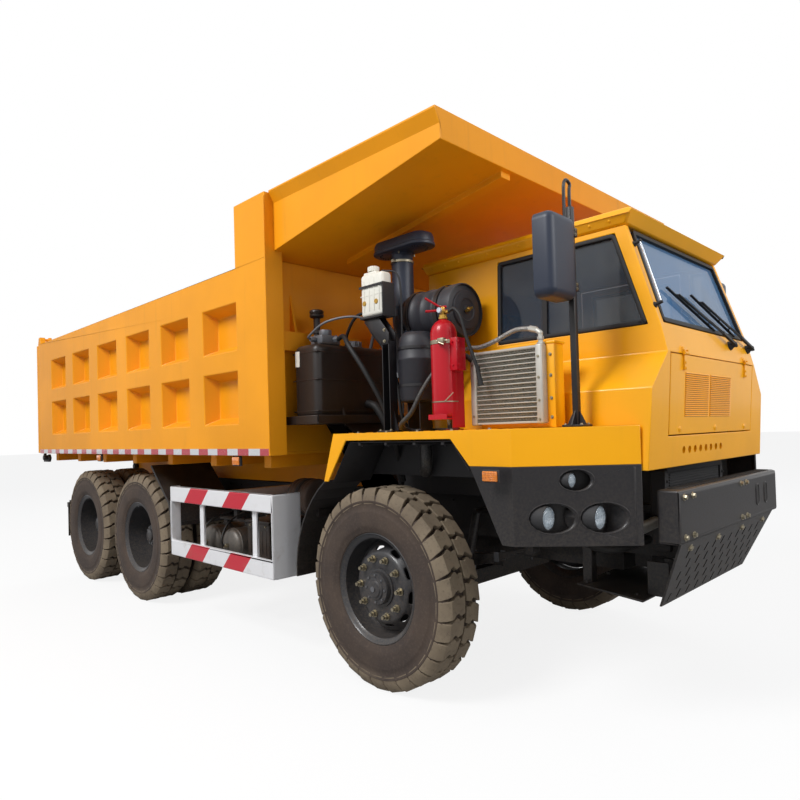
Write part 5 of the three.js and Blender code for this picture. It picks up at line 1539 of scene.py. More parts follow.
def coolantBottle():
    bm = bmesh.new()
    x1, x2, y1, y2 = 2.068, 2.272, -1.206, -1.118
    block(bm, (x1, y1, 2.318), (x2, y2, 2.590), 0.022, 4)
    for i in range(4):
        x = x1 + 0.032 + i * 0.046
        block(bm, (x, y1 - 0.004, 2.35), (x + 0.010, y1 + 0.006, 2.565), 0.004, 2)
        block(bm, (x, y2 - 0.006, 2.35), (x + 0.010, y2 + 0.004, 2.565), 0.004, 2)
    block(bm, (x1 - 0.002, y1 - 0.002, 2.448), (x2 + 0.002, y2 + 0.002, 2.456), 0.003, 2)
    block(bm, (2.085, y1 + 0.012, 2.575), (2.20, y2 - 0.012, 2.605), 0.010, 3)
    made = piece("coolant_bottle", bm, "whiteTank", sharp=50)
    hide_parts("coolant_stand")
    bm = bmesh.new()
    at = Vector((2.15, -1.162, 0))
    turned(bm, [(0.0, 2.640), (0.028, 2.640), (0.033, 2.635), (0.035, 2.615), (0.035, 2.607),
                (0.027, 2.605), (0.026, 2.59), (0.0, 2.59)], "z", at, 32)
    knurl(bm, at, 0.0345, 16, 0.003, 2.61, 2.636, 6)
    piece("coolant_cap", bm, "whiteTank")
    bm = bmesh.new()
    for x in (2.105, 2.215):
        turnedAt(bm, [(0.0, 0.0035), (0.014, 0.0035), (0.016, 0.001), (0.016, -0.004),
                      (0, -0.004)], lay((x, y1 - 0.002, 2.405), (0, -1, 0), (1, 0, 0)), 24)
    piece("coolant_marks", bm, "brass")
    bm = bmesh.new()
    post = (2.236, 2.300, -1.190, -1.126)
    for x in (post[0], post[1] - 0.006):
        block(bm, (x, post[2], onDeck), (x + 0.006, post[3], 2.15), 0.001, 1)
    block(bm, (post[0], post[3] - 0.006, onDeck), (post[1], post[3], 2.15), 0.001, 1)
    block(bm, (post[0] - 0.03, post[2] - 0.03, onDeck), (post[1] + 0.03, post[3] + 0.03, 1.596),
          0.002, 1)
    for y in (post[2], post[3] - 0.006):
        prism(bm, [(post[0], y, 2.13), (post[1], y, 2.13), (2.30, y, 2.20), (2.21, y, 2.31),
                   (2.08, y, 2.31), (2.08, y, 2.285)], (0, 0.006, 0), 0.001)
    for dx, inner, outer in ((0, 0.03, -0.005), (post[1] - post[0] + 0.03, 0, 0.035)):
        x = post[0] - 0.03 + dx
        prism(bm, [(x + inner, -1.16, 1.72), (x + inner, -1.16, 1.596), (x + outer, -1.16, 1.596)],
              (0, 0.006, 0))
    block(bm, (2.062, y1 - 0.006, 2.306), (2.280, y2 + 0.006, 2.318), 0.002, 1)
    block(bm, (2.272, y1 - 0.006, 2.306), (2.282, y2 + 0.006, 2.52), 0.002, 1)
    block(bm, (2.062, y1 - 0.008, 2.50), (2.282, y1 - 0.003, 2.516), 0.001, 1)
    block(bm, (2.062, y2 + 0.003, 2.50), (2.282, y2 + 0.008, 2.516), 0.001, 1)
    piece("coolant_bracket", bm, "blackPaint")
    bm = bmesh.new()
    bolts(bm, [(2.265, post[2], z) for z in (2.15, 2.22)], "y", 0.014, -1)
    bolts(bm, [(2.222, -1.205, 1.596), (2.316, -1.205, 1.596), (2.316, -1.112, 1.596)], "z", 0.013)
    piece("coolant_bracket_bolts", bm, "zinc")
    pipe("coolant_hose", [(2.10, -1.16, 2.316), (2.10, -1.15, 2.24), (2.16, -1.08, 2.10),
                          (2.20, -1.03, 1.90), (2.22, -1.0, 1.66), (2.25, -0.86, 1.50)], 0.012,
         "rubber")
    pipe("coolant_overflow", [(2.175, -1.14, 2.60), (2.21, -1.12, 2.61), (2.30, -1.09, 2.56),
                              (2.31, -1.08, 2.30), (2.30, -1.08, 1.95), (2.31, -1.09, 1.70)],
         0.006, "trim")


hydraulicTank()
airCleaner()
coolantBottle()
print("tanks and filters ready")

bottle = {"at": (2.725, -1.16), "radius": 0.076, "bands": [2.075, 1.745]}


def extinguisher():
    x, y = bottle["at"]
    at = Vector((x, y, 0))
    r = bottle["radius"]
    bm = bmesh.new()
    profile = [(0.0, 1.675), (0.05, 1.668), (0.066, 1.66), (0.0725, 1.664), (r - 0.001, 1.685),
               (r, 1.70), (r, 2.135), (r - 0.003, 2.158), (r - 0.012, 2.182), (r - 0.03, 2.204),
               (r - 0.05, 2.216), (0.020, 2.222), (0.0, 2.224)]
    turned(bm, profile, "z", at, 56)
    made = piece("extinguisher_bottle", bm, "redPaint", sharp=60)
    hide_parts("fire_extinguisher")
    bm = bmesh.new()
    turned(bm, [(0.0, 2.25), (0.019, 2.25), (0.023, 2.246), (0.023, 2.234), (0.027, 2.232),
                (0.027, 2.222), (0.020, 2.219), (0.0, 2.219)], "z", at, 32)
    rod(bm, "z", 0.014, 2.245, 2.292, (x, y), 20, 0.002)
    rodAlong(bm, (x, y, 2.262), (x + 0.036, y + 0.006, 2.262), 0.0115, 6)
    rodAlong(bm, (x, y, 2.270), (x + 0.002, y - 0.030, 2.270), 0.006, 16)
    piece("extinguisher_valve", bm, "brass")
    bm = bmesh.new()
    turnedAt(bm, [(0.0, 0.012), (0.014, 0.012), (0.0165, 0.009), (0.0165, 0.0), (0.0, 0.0)],
             lay((x + 0.002, y - 0.028, 2.270), (0, -1, 0), (1, 0, 0)), 24)
    piece("extinguisher_gauge", bm, "clearLens")
    # the two levers, bent plate with folded edges
    bm = bmesh.new()
    reach = Vector((-0.72, -0.69, 0)).normalized()
    wide = reach.cross(up)
    for rise, lift, thick in ((2.292, 0.052, 0.004), (2.272, -0.004, 0.004)):
        pivot = Vector((x, y, rise))
        line = [pivot - reach * 0.022, pivot + reach * 0.018, pivot + reach * 0.10 + up * lift]
        for first, last in zip(line, line[1:]):
            for side in (-1, 1):
                rodAlong(bm, first + wide * 0.008 * side, last + wide * 0.008 * side, thick, 8)
            rodAlong(bm, first + up * 0.003, last + up * 0.003, thick * 1.3, 8)
    piece("extinguisher_levers", bm, "redPaint")
    bm = bmesh.new()
    wire(bm, [Vector((x, y, 2.288)) + Vector((0.012 * c, -0.014 - 0.010 * s, 0.010 * s))
              for c, s in circle(20)], 0.0015, 6)
    for z in bottle["bands"]:
        strap(bm, "z", at, r + 0.0008, r + 0.003, z, 0.022 if z > 2 else 0.006)
    z = bottle["bands"][0]
    block(bm, (x + 0.028, y - r - 0.014, z - 0.004), (x + 0.07, y - r + 0.018, z + 0.027),
          0.004, 2)
    rodAlong(bm, (x + 0.02, y - r - 0.010, z + 0.011), (x + 0.085, y - r + 0.012, z + 0.011),
             0.005, 12)
    rodAlong(bm, (x + 0.04, y - r - 0.016, z + 0.004), (x + 0.075, y - r - 0.010, z - 0.012),
             0.003, 8)
    z = bottle["bands"][1]
    rodAlong(bm, (x + 0.05, y - r + 0.012, z + 0.003), (x + 0.10, y - r + 0.03, z + 0.05),
             0.0028, 8)
    piece("extinguisher_bands", bm, "zinc")
    bm = bmesh.new()
    block(bm, (x + 0.060, y - 0.030, 1.92), (x + 0.118, y + 0.050, 2.105), 0.005, 2)
    block(bm, (x - 0.022, y + 0.078, onDeck), (x + 0.022, y + 0.086, 2.12), 0.002, 1)
    block(bm, (x - 0.05, y + 0.05, onDeck), (x + 0.05, y + 0.095, 1.594), 0.002, 1)
    block(bm, (x - 0.07, y - 0.07, 1.648), (x + 0.07, y + 0.086, 1.656), 0.003, 1)
    block(bm, (x - 0.07, y - 0.074, 1.648), (x + 0.07, y - 0.070, 1.678), 0.0015, 1)
    block(bm, (x + 0.066, y - 0.026, 1.60), (x + 0.074, y + 0.08, 1.93), 0.002, 1)
    for z in (1.95, 2.08):
        bolt(bm, (x + 0.118, y - 0.012, z), "x", 0.010)
        bolt(bm, (x + 0.09, y - 0.030, z), "y", 0.010, -1)
    piece("extinguisher_bracket", bm, "redPaint")
    path = [(x + 0.036, y + 0.006, 2.262), (x + 0.075, y + 0.012, 2.272),
            (x + 0.118, y + 0.014, 2.22), (x + 0.15, y + 0.022, 2.10),
            (x + 0.185, y + 0.035, 1.99), (x + 0.205, y + 0.045, 1.915)]
    hose = pipe("extinguisher_hose", path, 0.010, "rubber")
    bm = bmesh.new()
    start, end = Vector(path[-1]), Vector(path[-1]) + Vector((0.014, 0.006, -0.085))
    rodAlong(bm, start + up * 0.022, start - up * 0.012, 0.0125, 20)
    rodAlong(bm, start, end, 0.011, 20, 0.0155)
    nozzle = piece("extinguisher_nozzle", bm, "rubber")
    lengthOf(smoothPath(path))


cooler = {"core": [(2.822, -1.042, 1.615), (3.30, -1.0, 2.014)], "rows": 15, "header": 0.040,
          "tube": 0.0075, "fold": 0.0095}


def oilCooler():
    first, last = Vector(cooler["core"][0]), Vector(cooler["core"][1])
    header = cooler["header"]
    bm = bmesh.new()
    for x in (first.x, last.x - header):
        block(bm, (x, first.y - 0.010, first.z - 0.008),
              (x + header, last.y + 0.004, last.z + 0.012), 0.009, 3)
    for z in (first.z - 0.004, last.z - 0.004):
        block(bm, (first.x + header - 0.002, first.y - 0.002, z),
              (last.x - header + 0.002, last.y, z + 0.012), 0.002, 1)
    made = piece("cooler_headers", bm, "aluminium")
    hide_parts("oil_cooler")
    rows, fins = bmesh.new(), bmesh.new()
    pitch = (last.z - first.z - 0.008) / cooler["rows"]
    x1, x2 = first.x + header, last.x - header
    for row in range(cooler["rows"] + 1):
        z = first.z + 0.004 + row * pitch
        block(rows, (x1 - 0.002, first.y, z - cooler["tube"] / 2),
              (x2 + 0.002, last.y, z + cooler["tube"] / 2), 0.0025, 1)
        if row == cooler["rows"]:
            break
        count = int((x2 - x1) / cooler["fold"])
        bottom, top = z + cooler["tube"] / 2 - 0.001, z + pitch - cooler["tube"] / 2 + 0.001
        chain = [fins.verts.new((x1 + (x2 - x1) * i / count, first.y + 0.0012,
                                 top if i % 2 else bottom)) for i in range(count + 1)]
        edges = [fins.edges.new(pair) for pair in zip(chain, chain[1:])]
        made = bmesh.ops.extrude_edge_only(fins, edges=edges)["geom"]
        bmesh.ops.translate(fins, vec=(0, 0.034, 0),
                            verts=[g for g in made if isinstance(g, bmesh.types.BMVert)])
    piece("cooler_tubes", rows, "aluminium")
    piece("cooler_fins", fins, "finMetal", recalc=False)
    bm = bmesh.new()
    block(bm, (2.85, -0.999, onDeck), (3.345, -0.905, 2.03), 0.006, 2)
    block(bm, (2.842, -1.004, 2.026), (3.353, -0.90, 2.040), 0.004, 2)
    piece("cooler_housing", bm, "cabPaint")
    bm = bmesh.new()
    for z in (1.64, 1.74, 1.86, 1.97):
        bolt(bm, (3.322, -0.999, z), "y", 0.012, -1)
        bolt(bm, (3.28, first.y - 0.010, z - 0.01), "y", 0.010, -1)
    for z in (1.66, 1.95):
        bolt(bm, (2.842, first.y - 0.010, z), "y", 0.010, -1)
    piece("cooler_bolts", bm, "zinc")
    # top fitting, elbow and braided pipe
    at = Vector((3.28, -1.02, 0))
    bm = bmesh.new()
    rod(bm, "z", 0.020, 2.020, 2.036, (at.x, at.y), 6, 0.002)
    rod(bm, "z", 0.013, 2.03, 2.085, (at.x, at.y), 20)
    rod(bm, "z", 0.018, 2.048, 2.066, (at.x, at.y), 6, 0.002)
    rodAlong(bm, (at.x, at.y, 2.085), (at.x - 0.03, at.y, 2.108), 0.0135, 20)
    bmesh.ops.create_uvsphere(bm, u_segments=20, v_segments=12, radius=0.0145,
                              matrix=Matrix.Translation((at.x, at.y, 2.085)))
    rodAlong(bm, (at.x - 0.022, at.y, 2.104), (at.x - 0.066, at.y, 2.117), 0.016, 6)
    piece("cooler_fitting", bm, "aluminium")
    pipe("cooler_pipe", [(3.222, -1.02, 2.116), (3.12, -1.025, 2.118), (2.99, -1.03, 2.075),
                         (2.88, -1.02, 2.055), (2.78, -1.0, 2.06), (2.66, -0.98, 2.04),
                         (2.58, -0.97, 1.92), (2.56, -0.96, 1.70), (2.54, -0.86, 1.50)],
         0.0125, "braid")
    pipe("cooler_return_hose", [(2.84, -1.05, 1.98), (2.78, -1.06, 2.02), (2.70, -1.05, 2.02),
                                (2.60, -1.10, 1.94), (2.54, -1.16, 1.82), (2.48, -1.19, 1.70),
                                (2.40, -1.20, 1.63), (2.36, -1.13, 1.60), (2.33, -1.0, 1.58),
                                (2.32, -0.88, 1.52)], 0.015, "ribbedHose")


mirrorArm = {"post": 0.016, "round": 0.042}


def mirrorPieces(word, side):
    node = "mirror_" + word
    body = nodes[node]["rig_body"]
    x, y = 3.453, side * 0.977
    bm = bmesh.new()
    inner, outer = sorted((side * 0.997, side * 1.238))
    verts = block(bm, (3.392, inner, 2.222), (3.500, outer, 2.644), 0)
    soften(bm, [e for e in edgesOf(verts) if max(v.co.x for v in e.verts) > 3.4],
           mirrorArm["round"], 6)
    made = piece(node + "_housing", bm, "navyPlastic", body, sharp=70)
    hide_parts(node)
    bm = bmesh.new()
    verts = block(bm, (3.3905, inner + 0.016, 2.238), (3.3935, outer - 0.016, 2.628), 0)
    soften(bm, [e for e in edgesOf(verts) if abs(e.verts[0].co.x - e.verts[1].co.x) > 0.001],
           0.03, 6)
    piece(node + "_glass", bm, "mirrorFace", body)
    bm = bmesh.new()
    r = mirrorArm["post"]
    block(bm, (x - r, y - r, onDeck), (x + r, y + r, 2.715), 0.003, 2)
    block(bm, (x - 0.06, y - 0.05, onDeck), (x + 0.06, y + 0.05, 1.597), 0.003, 1)
    for turn in range(4):
        verts = prism(bm, [(r - 0.002, -0.003, 0.0), (0.055, -0.003, 0.0),
                           (r - 0.002, -0.003, 0.075)], (0, 0.006, 0), 0)
        place = Matrix.Translation((x, y, 1.596)) @ Matrix.Rotation(turn * math.pi / 2, 4, "Z")
        move(bm, verts, place)
    for z in (2.30, 2.58):
        rodAlong(bm, (x, y, z), (x - 0.004, side * 1.03, z), 0.013, 20)
        block(bm, (x - 0.026, y - 0.026, z - 0.024), (x + 0.026, y + 0.026, z + 0.024), 0.005, 2)
    path = [(x, y, 2.70), (x, y, 2.80), (x, y - side * 0.006, 2.835), (x, y + side * 0.03, 2.848),
            (x, y + side * 0.052, 2.82), (x, y + side * 0.056, 2.74), (x, y + side * 0.056, 2.63)]
    piece(node + "_post", bm, "blackPaint", body)
    pipe(node + "_loop", path, 0.0085, "blackPaint", body)
    bm = bmesh.new()
    for z in (2.30, 2.58):
        bolts(bm, [(x + 0.026, y, z - 0.012), (x + 0.026, y, z + 0.012)], "x", 0.009)
    bolts(bm, [(x + dx, y + dy, 1.597) for dx in (-0.045, 0.045) for dy in (-0.036, 0.036)],
          "z", 0.011)
    piece(node + "_bolts", bm, "zinc", body)


extinguisher()
oilCooler()
for word, side in hands:
    mirrorPieces(word, side)
print("deck gear ready")

spring = {"leaves": 9, "thick": 0.0086, "half": 0.6, "top": 0.722, "width": 0.07}


def frontSpring(word, side):
    x0, y = centre("front_tyre_right").x, side * 0.4
    bm = bmesh.new()
    for k in range(spring["leaves"]):
        reach = spring["half"] * (1 - 0.088 * k)
        line = []
        for i in range(17):
            dx = -reach + 2 * reach * i / 16
            bend = 0.09 * max(0.0, (abs(dx) - 0.05) / 0.55) ** 2
            line.append((x0 + dx, spring["top"] - 0.009 * k + bend))
        outline = [(x, y - spring["width"] / 2, z) for x, z in line]
        outline += [(x, y - spring["width"] / 2, z - spring["thick"]) for x, z in reversed(line)]
        prism(bm, outline, (0, spring["width"], 0), 0.0012, 1)
    for dx in (-0.6, 0.6):
        rod(bm, "y", 0.030, y - 0.036, y + 0.036, (x0 + dx, 0.8), 24, 0.002)
        rod(bm, "y", 0.014, y - 0.05, y + 0.05, (x0 + dx, 0.8), 6, 0.001)
        for dy in (-0.046, 0.040):
            block(bm, (x0 + dx - 0.028, y + dy, 0.77), (x0 + dx + 0.028, y + dy + 0.008, 0.85),
                  0.004, 1)
        block(bm, (x0 + dx - 0.06, y - 0.05, 0.8455), (x0 + dx + 0.06, y + 0.05, 0.852), 0.002, 1)
    made = piece("front_spring_leaves_" + word, bm, "chassisPaint")
    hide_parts("front_spring_" + word)
    bm = bmesh.new()
    for dx in (-0.075, 0.075):
        for dy in (-0.045, 0.045):
            rod(bm, "z", 0.009, 0.545, 0.735, (x0 + dx, y + dy), 12)
            rod(bm, "z", 0.016, 0.56, 0.574, (x0 + dx, y + dy), 6)
        rodAlong(bm, (x0 + dx, y - 0.045, 0.735), (x0 + dx, y + 0.045, 0.735), 0.009, 12)
    block(bm, (x0 - 0.09, y - 0.055, 0.722), (x0 + 0.09, y + 0.055, 0.733), 0.003, 1)
    for dx in (-0.33, 0.33):
        block(bm, (x0 + dx - 0.02, y - 0.041, 0.69), (x0 + dx + 0.02, y - 0.036, 0.755), 0.002, 1)
        block(bm, (x0 + dx - 0.02, y + 0.036, 0.69), (x0 + dx + 0.02, y + 0.041, 0.755), 0.002, 1)
    piece("front_spring_clips_" + word, bm, "greyPaint")
    bm = bmesh.new()
    rodAlong(bm, (x0 + 0.13, y + side * 0.12, 0.60), (x0 + 0.20, y + side * 0.12, 0.86), 0.024, 24)
    rodAlong(bm, (x0 + 0.17, y + side * 0.12, 0.75), (x0 + 0.245, y + side * 0.12, 1.03),
             0.031, 24)
    for spot in ((x0 + 0.13, 0.60), (x0 + 0.245, 1.03)):
        rod(bm, "y", 0.022, *sorted((y + side * 0.02, y + side * 0.15)), spot, 20, 0.002)
    piece("damper_" + word, bm, "blackPaint")


def airTanks():
    bm = bmesh.new()
    for x in (0.06, 0.40):
        ends = [(0.0, -1.255), (0.02, -1.254), (0.06, -1.250), (0.1, -1.240), (0.125, -1.226),
                (0.134, -1.208), (0.136, -1.196), (0.1385, -1.194), (0.1385, -1.184),
                (0.136, -1.182)]
        other = [(q, -1.86 - a) for q, a in reversed(ends)]
        turned(bm, ends + other, "y", Vector((x, 0, 0.70)), 56)
    made = piece("air_tank_shells", bm, "tankSteel", sharp=50)
    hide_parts("air_tanks")
    bm = bmesh.new()
    for x in (0.06, 0.40):
        for y in (-1.08, -0.78):
            strap(bm, "y", Vector((x, 0, 0.70)), 0.1365, 0.1395, y, 0.03)
            block(bm, (x - 0.03, y, 0.832), (x + 0.03, y + 0.03, 0.875), 0.003, 1)
    for y in (-1.08, -0.78):
        block(bm, (-0.02, y - 0.01, 0.87), (0.48, y + 0.04, 0.885), 0.002, 1)
        block(bm, (0.205, y, 0.88), (0.255, y + 0.03, 0.99), 0.002, 1)
    block(bm, (0.205, -1.10, 0.96), (0.255, -onRail, 1.03), 0.003, 1)
    piece("air_tank_straps", bm, "chassisPaint")
    bm = bmesh.new()
    for x in (0.06, 0.40):
        rod(bm, "y", 0.020, -1.272, -1.250, (x, 0.70), 6, 0.002)
        rod(bm, "y", 0.010, -1.292, -1.27, (x, 0.70), 16, 0.002)
        rod(bm, "z", 0.012, 0.545, 0.566, (x, -0.93), 6, 0.001)
    piece("air_tank_fittings", bm, "zinc")
    pipe("air_line_1", [(0.06, -1.288, 0.70), (0.07, -1.31, 0.76), (0.12, -1.22, 0.90),
                        (0.16, -0.9, 0.97), (0.2, -0.45, 0.99)], 0.007, "rubber")
    pipe("air_line_2", [(0.40, -1.288, 0.70), (0.41, -1.31, 0.77), (0.37, -1.2, 0.90),
                        (0.32, -0.9, 0.98), (0.3, -0.45, 1.02)], 0.007, "rubber")
    # battery box and dryer between the tanks and the wheel
    bm = bmesh.new()
    block(bm, (0.58, -1.18, 0.62), (0.90, -0.72, 0.90), 0.012, 3)
    block(bm, (0.57, -1.19, 0.895), (0.91, -0.71, 0.925), 0.010, 2)
    for i in range(5):
        block(bm, (0.61 + i * 0.055, -1.184, 0.66), (0.64 + i * 0.055, -1.178, 0.85), 0.002, 1)
    block(bm, (0.66, -0.73, 0.90), (0.72, -onRail, 0.96), 0.003, 1)
    block(bm, (0.80, -0.73, 0.90), (0.86, -onRail, 0.96), 0.003, 1)
    piece("battery_box", bm, "blackTank")
    bm = bmesh.new()
    for x in (0.575, 0.905):
        block(bm, (x - 0.004, -1.0, 0.84), (x + 0.004, -0.96, 0.93), 0.002, 1)
    for x in (0.63, 0.85):
        bolt(bm, (x, -1.18, 0.88), "y", 0.012, -1)
    piece("battery_box_catches", bm, "zinc")
    at = Vector((-0.16, -0.62, 0))
    bm = bmesh.new()
    turned(bm, [(0.0, 0.80), (0.05, 0.80), (0.062, 0.806), (0.064, 0.82), (0.064, 0.95),
                (0.068, 0.955), (0.068, 0.975), (0.05, 0.985), (0.0, 0.985)], "z", at, 40)
    block(bm, (-0.21, -0.60, 0.90), (-0.11, -onRail, 0.99), 0.006, 2)
    piece("air_dryer", bm, "greyPaint")


def mufflerPieces():
    at = Vector((0, -0.96, 1.105))
    bm = bmesh.new()
    profile = [(0.0, 1.0), (0.05, 1.0), (0.12, 1.004), (0.134, 1.012), (0.14, 1.024)]
    for x in (1.06, 1.10, 1.18, 1.22):
        profile += [(0.14, x - 0.006), (0.1435, x - 0.003), (0.1435, x + 0.003), (0.14, x + 0.006)]
    profile += [(0.14, 1.236), (0.134, 1.248), (0.12, 1.256), (0.05, 1.26), (0.0, 1.26)]
    turned(bm, profile, "x", at, 56)
    made = piece("muffler_drum", bm, "heatedSteel", sharp=50)
    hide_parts("muffler")
    bm = bmesh.new()
    for x in (1.128, 1.15):
        strap(bm, "x", at, 0.1415, 0.146, x, 0.014)
    block(bm, (1.10, -0.83, 1.04), (1.16, -onRail, 1.10), 0.003, 1)
    block(bm, (1.095, -0.86, 1.02), (1.165, -0.82, 1.20), 0.004, 1)
    piece("muffler_hanger", bm, "chassisPaint")
    pipe("exhaust_front", [(1.25, -0.96, 1.105), (1.34, -0.95, 1.10), (1.40, -0.86, 1.08),
                           (1.44, -0.70, 1.05), (1.56, -0.58, 1.03), (1.86, -0.50, 1.02)], 0.045,
         "heatedSteel")
    pipe("exhaust_tail", [(1.01, -0.99, 1.07), (0.93, -1.0, 1.05), (0.86, -1.06, 1.03),
                          (0.82, -1.16, 1.02)], 0.042, "heatedSteel")


def fuelTank():
    bm = bmesh.new()
    block(bm, (0.26, 0.68, 0.60), (0.90, 1.29, 1.05), 0.05, 5)
    made = piece("fuel_tank_shell", bm, "blackTank", sharp=60)
    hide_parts("fuel_tank")
    bm = bmesh.new()
    for x in (0.36, 0.74):
        block(bm, (x, 0.72, 1.050), (x + 0.05, 1.25, 1.0545), 0.001, 1)
        block(bm, (x, 0.72, 0.5955), (x + 0.05, 1.25, 0.600), 0.001, 1)
        block(bm, (x, 1.290, 0.645), (x + 0.05, 1.2945, 1.005), 0.001, 1)
        for y, z in ((1.262, 1.022), (1.262, 0.628)):
            turn = Matrix.Rotation(math.radians(-45 if z > 0.9 else 45), 4, "X")
            block(bm, (x, y - 0.036, z - 0.0022), (x + 0.05, y + 0.036, z + 0.0022), 0, 1, turn)
        block(bm, (x - 0.004, onRail, 0.56), (x + 0.054, 1.20, 0.596), 0.004, 1)
        block(bm, (x - 0.004, onRail, 0.56), (x + 0.054, 0.44, 0.96), 0.004, 1)
    piece("fuel_tank_straps", bm, "chassisPaint")
    bm = bmesh.new()
    at = Vector((0.80, 1.18, 0))
    turned(bm, [(0.0, 1.11), (0.05, 1.11), (0.056, 1.104), (0.056, 1.082), (0.045, 1.078),
                (0.045, 1.045), (0.0, 1.045)], "z", at, 36)
    block(bm, (0.745, 1.172, 1.108), (0.855, 1.188, 1.118), 0.003, 1)
    rod(bm, "z", 0.03, 1.048, 1.062, (0.50, 0.98), 24, 0.003)
    for x in (0.36, 0.74):
        rod(bm, "z", 0.007, 1.05, 1.09, (x + 0.025, 1.2), 12)
        bolt(bm, (x + 0.025, 1.2, 1.0545), "z", 0.012)
    piece("fuel_tank_cap", bm, "greyPaint")
    bm = bmesh.new()
    for z in (0.48, 0.52):
        for i in range(9):
            block(bm, (0.30 + i * 0.062, 1.16, z), (0.345 + i * 0.062, 1.30, z + 0.006), 0.001, 1)
    for x in (0.29, 0.86):
        block(bm, (x, 1.15, 0.47), (x + 0.012, 1.30, 0.60), 0.002, 1)
    piece("fuel_tank_step", bm, "chassisPaint")


def axleDetails():
    for axle in ("middle", "rear"):
        x, z = centre(axle + "_twin_right").xz
        bm = bmesh.new()
        cover = [(0.0, -0.165), (0.09, -0.163), (0.15, -0.152), (0.178, -0.136), (0.186, -0.128),
                 (0.206, -0.126), (0.206, -0.112), (0.0, -0.112)]
        turned(bm, cover, "x", Vector((x, 0, z)), 40)
        bolts(bm, [(x - 0.126, 0.193 * c, z + 0.193 * s) for c, s in circle(14)], "x", 0.014, -1)
        for side in (-1, 1):
            for start, end, r, sides in ((0.60, 0.46, 0.078, 28), (0.53, 0.515, 0.084, 28),
                                         (0.60, 0.70, 0.014, 12)):
                rodAlong(bm, (x + 0.10, side * start, z + 0.13), (x + 0.10, side * end, z + 0.13),
                         r, sides)
            block(bm, (x + 0.02, side * 0.60 - 0.006, z + 0.04),
                  (x + 0.15, side * 0.60 + 0.006, z + 0.19), 0.004, 1)
        piece(axle + "_axle_cover", bm, "chassisPaint")
    x = centre("middle_twin_right").x
    half = (x - centre("rear_twin_right").x) / 2
    x0 = x - half
    for word, side in hands:
        bm = bmesh.new()
        y = side * 0.485
        for k in range(10):
            reach = (half + 0.07) * (1 - 0.075 * k)
            line = []
            for i in range(15):
                dx = -reach + 2 * reach * i / 14
                sag = 0.075 * max(0.0, (abs(dx) - 0.12) / 0.65) ** 1.4
                line.append((x0 + dx, 0.7475 + 0.0105 * (9 - k) - sag * (1 - 0.04 * k)))
            outline = [(a, y - 0.0385, c) for a, c in line]
            outline += [(a, y - 0.0385, c - 0.0098) for a, c in reversed(line)]
            prism(bm, outline, (0, 0.077, 0), 0.0012, 1)
        piece("rear_spring_leaves_" + word, bm, "chassisPaint")
        bm = bmesh.new()
        for dx in (-0.10, 0.10):
            for dy in (-0.048, 0.048):
                rod(bm, "z", 0.011, 0.60, 0.87, (x0 + dx, y + dy), 12)
                rod(bm, "z", 0.019, 0.857, 0.872, (x0 + dx, y + dy), 6)
        block(bm, (x0 - 0.125, y - 0.06, 0.842), (x0 + 0.125, y + 0.06, 0.856), 0.003, 1)
        rod(bm, "y", 0.075, *sorted((side * 0.545, side * 0.585)), (x0, 0.62), 32, 0.006)
        piece("rear_spring_clamps_" + word, bm, "greyPaint")
        # torque arms to each axle
        bm = bmesh.new()
        for dx in (-1, 1):
            start = Vector((x0 + dx * 0.06, side * 0.33, 0.60))
            end = Vector((x0 + dx * (half - 0.10), side * 0.33, 0.52))
            rodAlong(bm, start, end, 0.022, 16)
            for spot in (start, end):
                rod(bm, "y", 0.042, spot.y - 0.03, spot.y + 0.03, (spot.x, spot.z), 24, 0.004)
        piece("torque_arms_" + word, bm, "chassisPaint")


def railBolts():
    bm = bmesh.new()
    for side in (-1, 1):
        for i in range(30):
            bolts(bm, [(-3.3 + i * 0.225, side * 0.4, z) for z in (0.90, 1.08)], "y", 0.014, side)
    piece("rail_bolts", bm, "chassisPaint")


def rearLamps():
    face = low("rear_bar").x
    glass = {"redLens": (1.165, 1.255), "amberLens": (1.065, 1.155), "clearLens": (0.968, 1.055)}
    for word, side in hands:
        for finish, (start, end) in glass.items():
            bm = bmesh.new()
            inner, outer = sorted((side * start, side * end))
            block(bm, (face - 0.014, inner, 0.768), (face + 0.002, outer, 0.852), 0.006, 3)
            piece(f"rear_{finish}_{word}", bm, finish)
        bm = bmesh.new()
        inner, outer = sorted((side * 0.72, side * 1.26))
        for i in range(6):
            y = inner + (outer - inner) * (i + 0.5) / 6
            bolt(bm, (face + 0.02, y, 0.79), "x", 0.012, -1)
        for i in range(7):
            y = inner + (outer - inner) * (i + 0.5) / 7
            block(bm, (face + 0.044, y - 0.012, 0.47), (face + 0.058, y + 0.012, 0.72), 0.004, 1)
        piece("rear_flap_ribs_" + word, bm, "rubber")


def hoistRings():
    at = centre("hoist_rod")
    spot = Vector((at.x, at.y, 0))
    for node, inner, outer in (("hoist_barrel", 0.0995, 0.110), ("hoist_stage_1", 0.0845, 0.094),
                               ("hoist_stage_2", 0.0695, 0.078)):
        top = high(node).z
        bm = bmesh.new()
        turned(bm, [(inner, top - 0.05), (outer, top - 0.046), (outer, top - 0.006),
                    (outer - 0.004, top - 0.001), (inner, top - 0.001)], "z", spot, 48, loop=True)
        for c, s in circle(6):
            ends = [(spot.x + r * c, spot.y + r * s, top - 0.026)
                    for r in (outer * 0.97, outer + 0.003)]
            rodAlong(bm, *ends, 0.006, 6)
        piece(node + "_gland", bm, "blackPaint", nodes[node]["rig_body"])


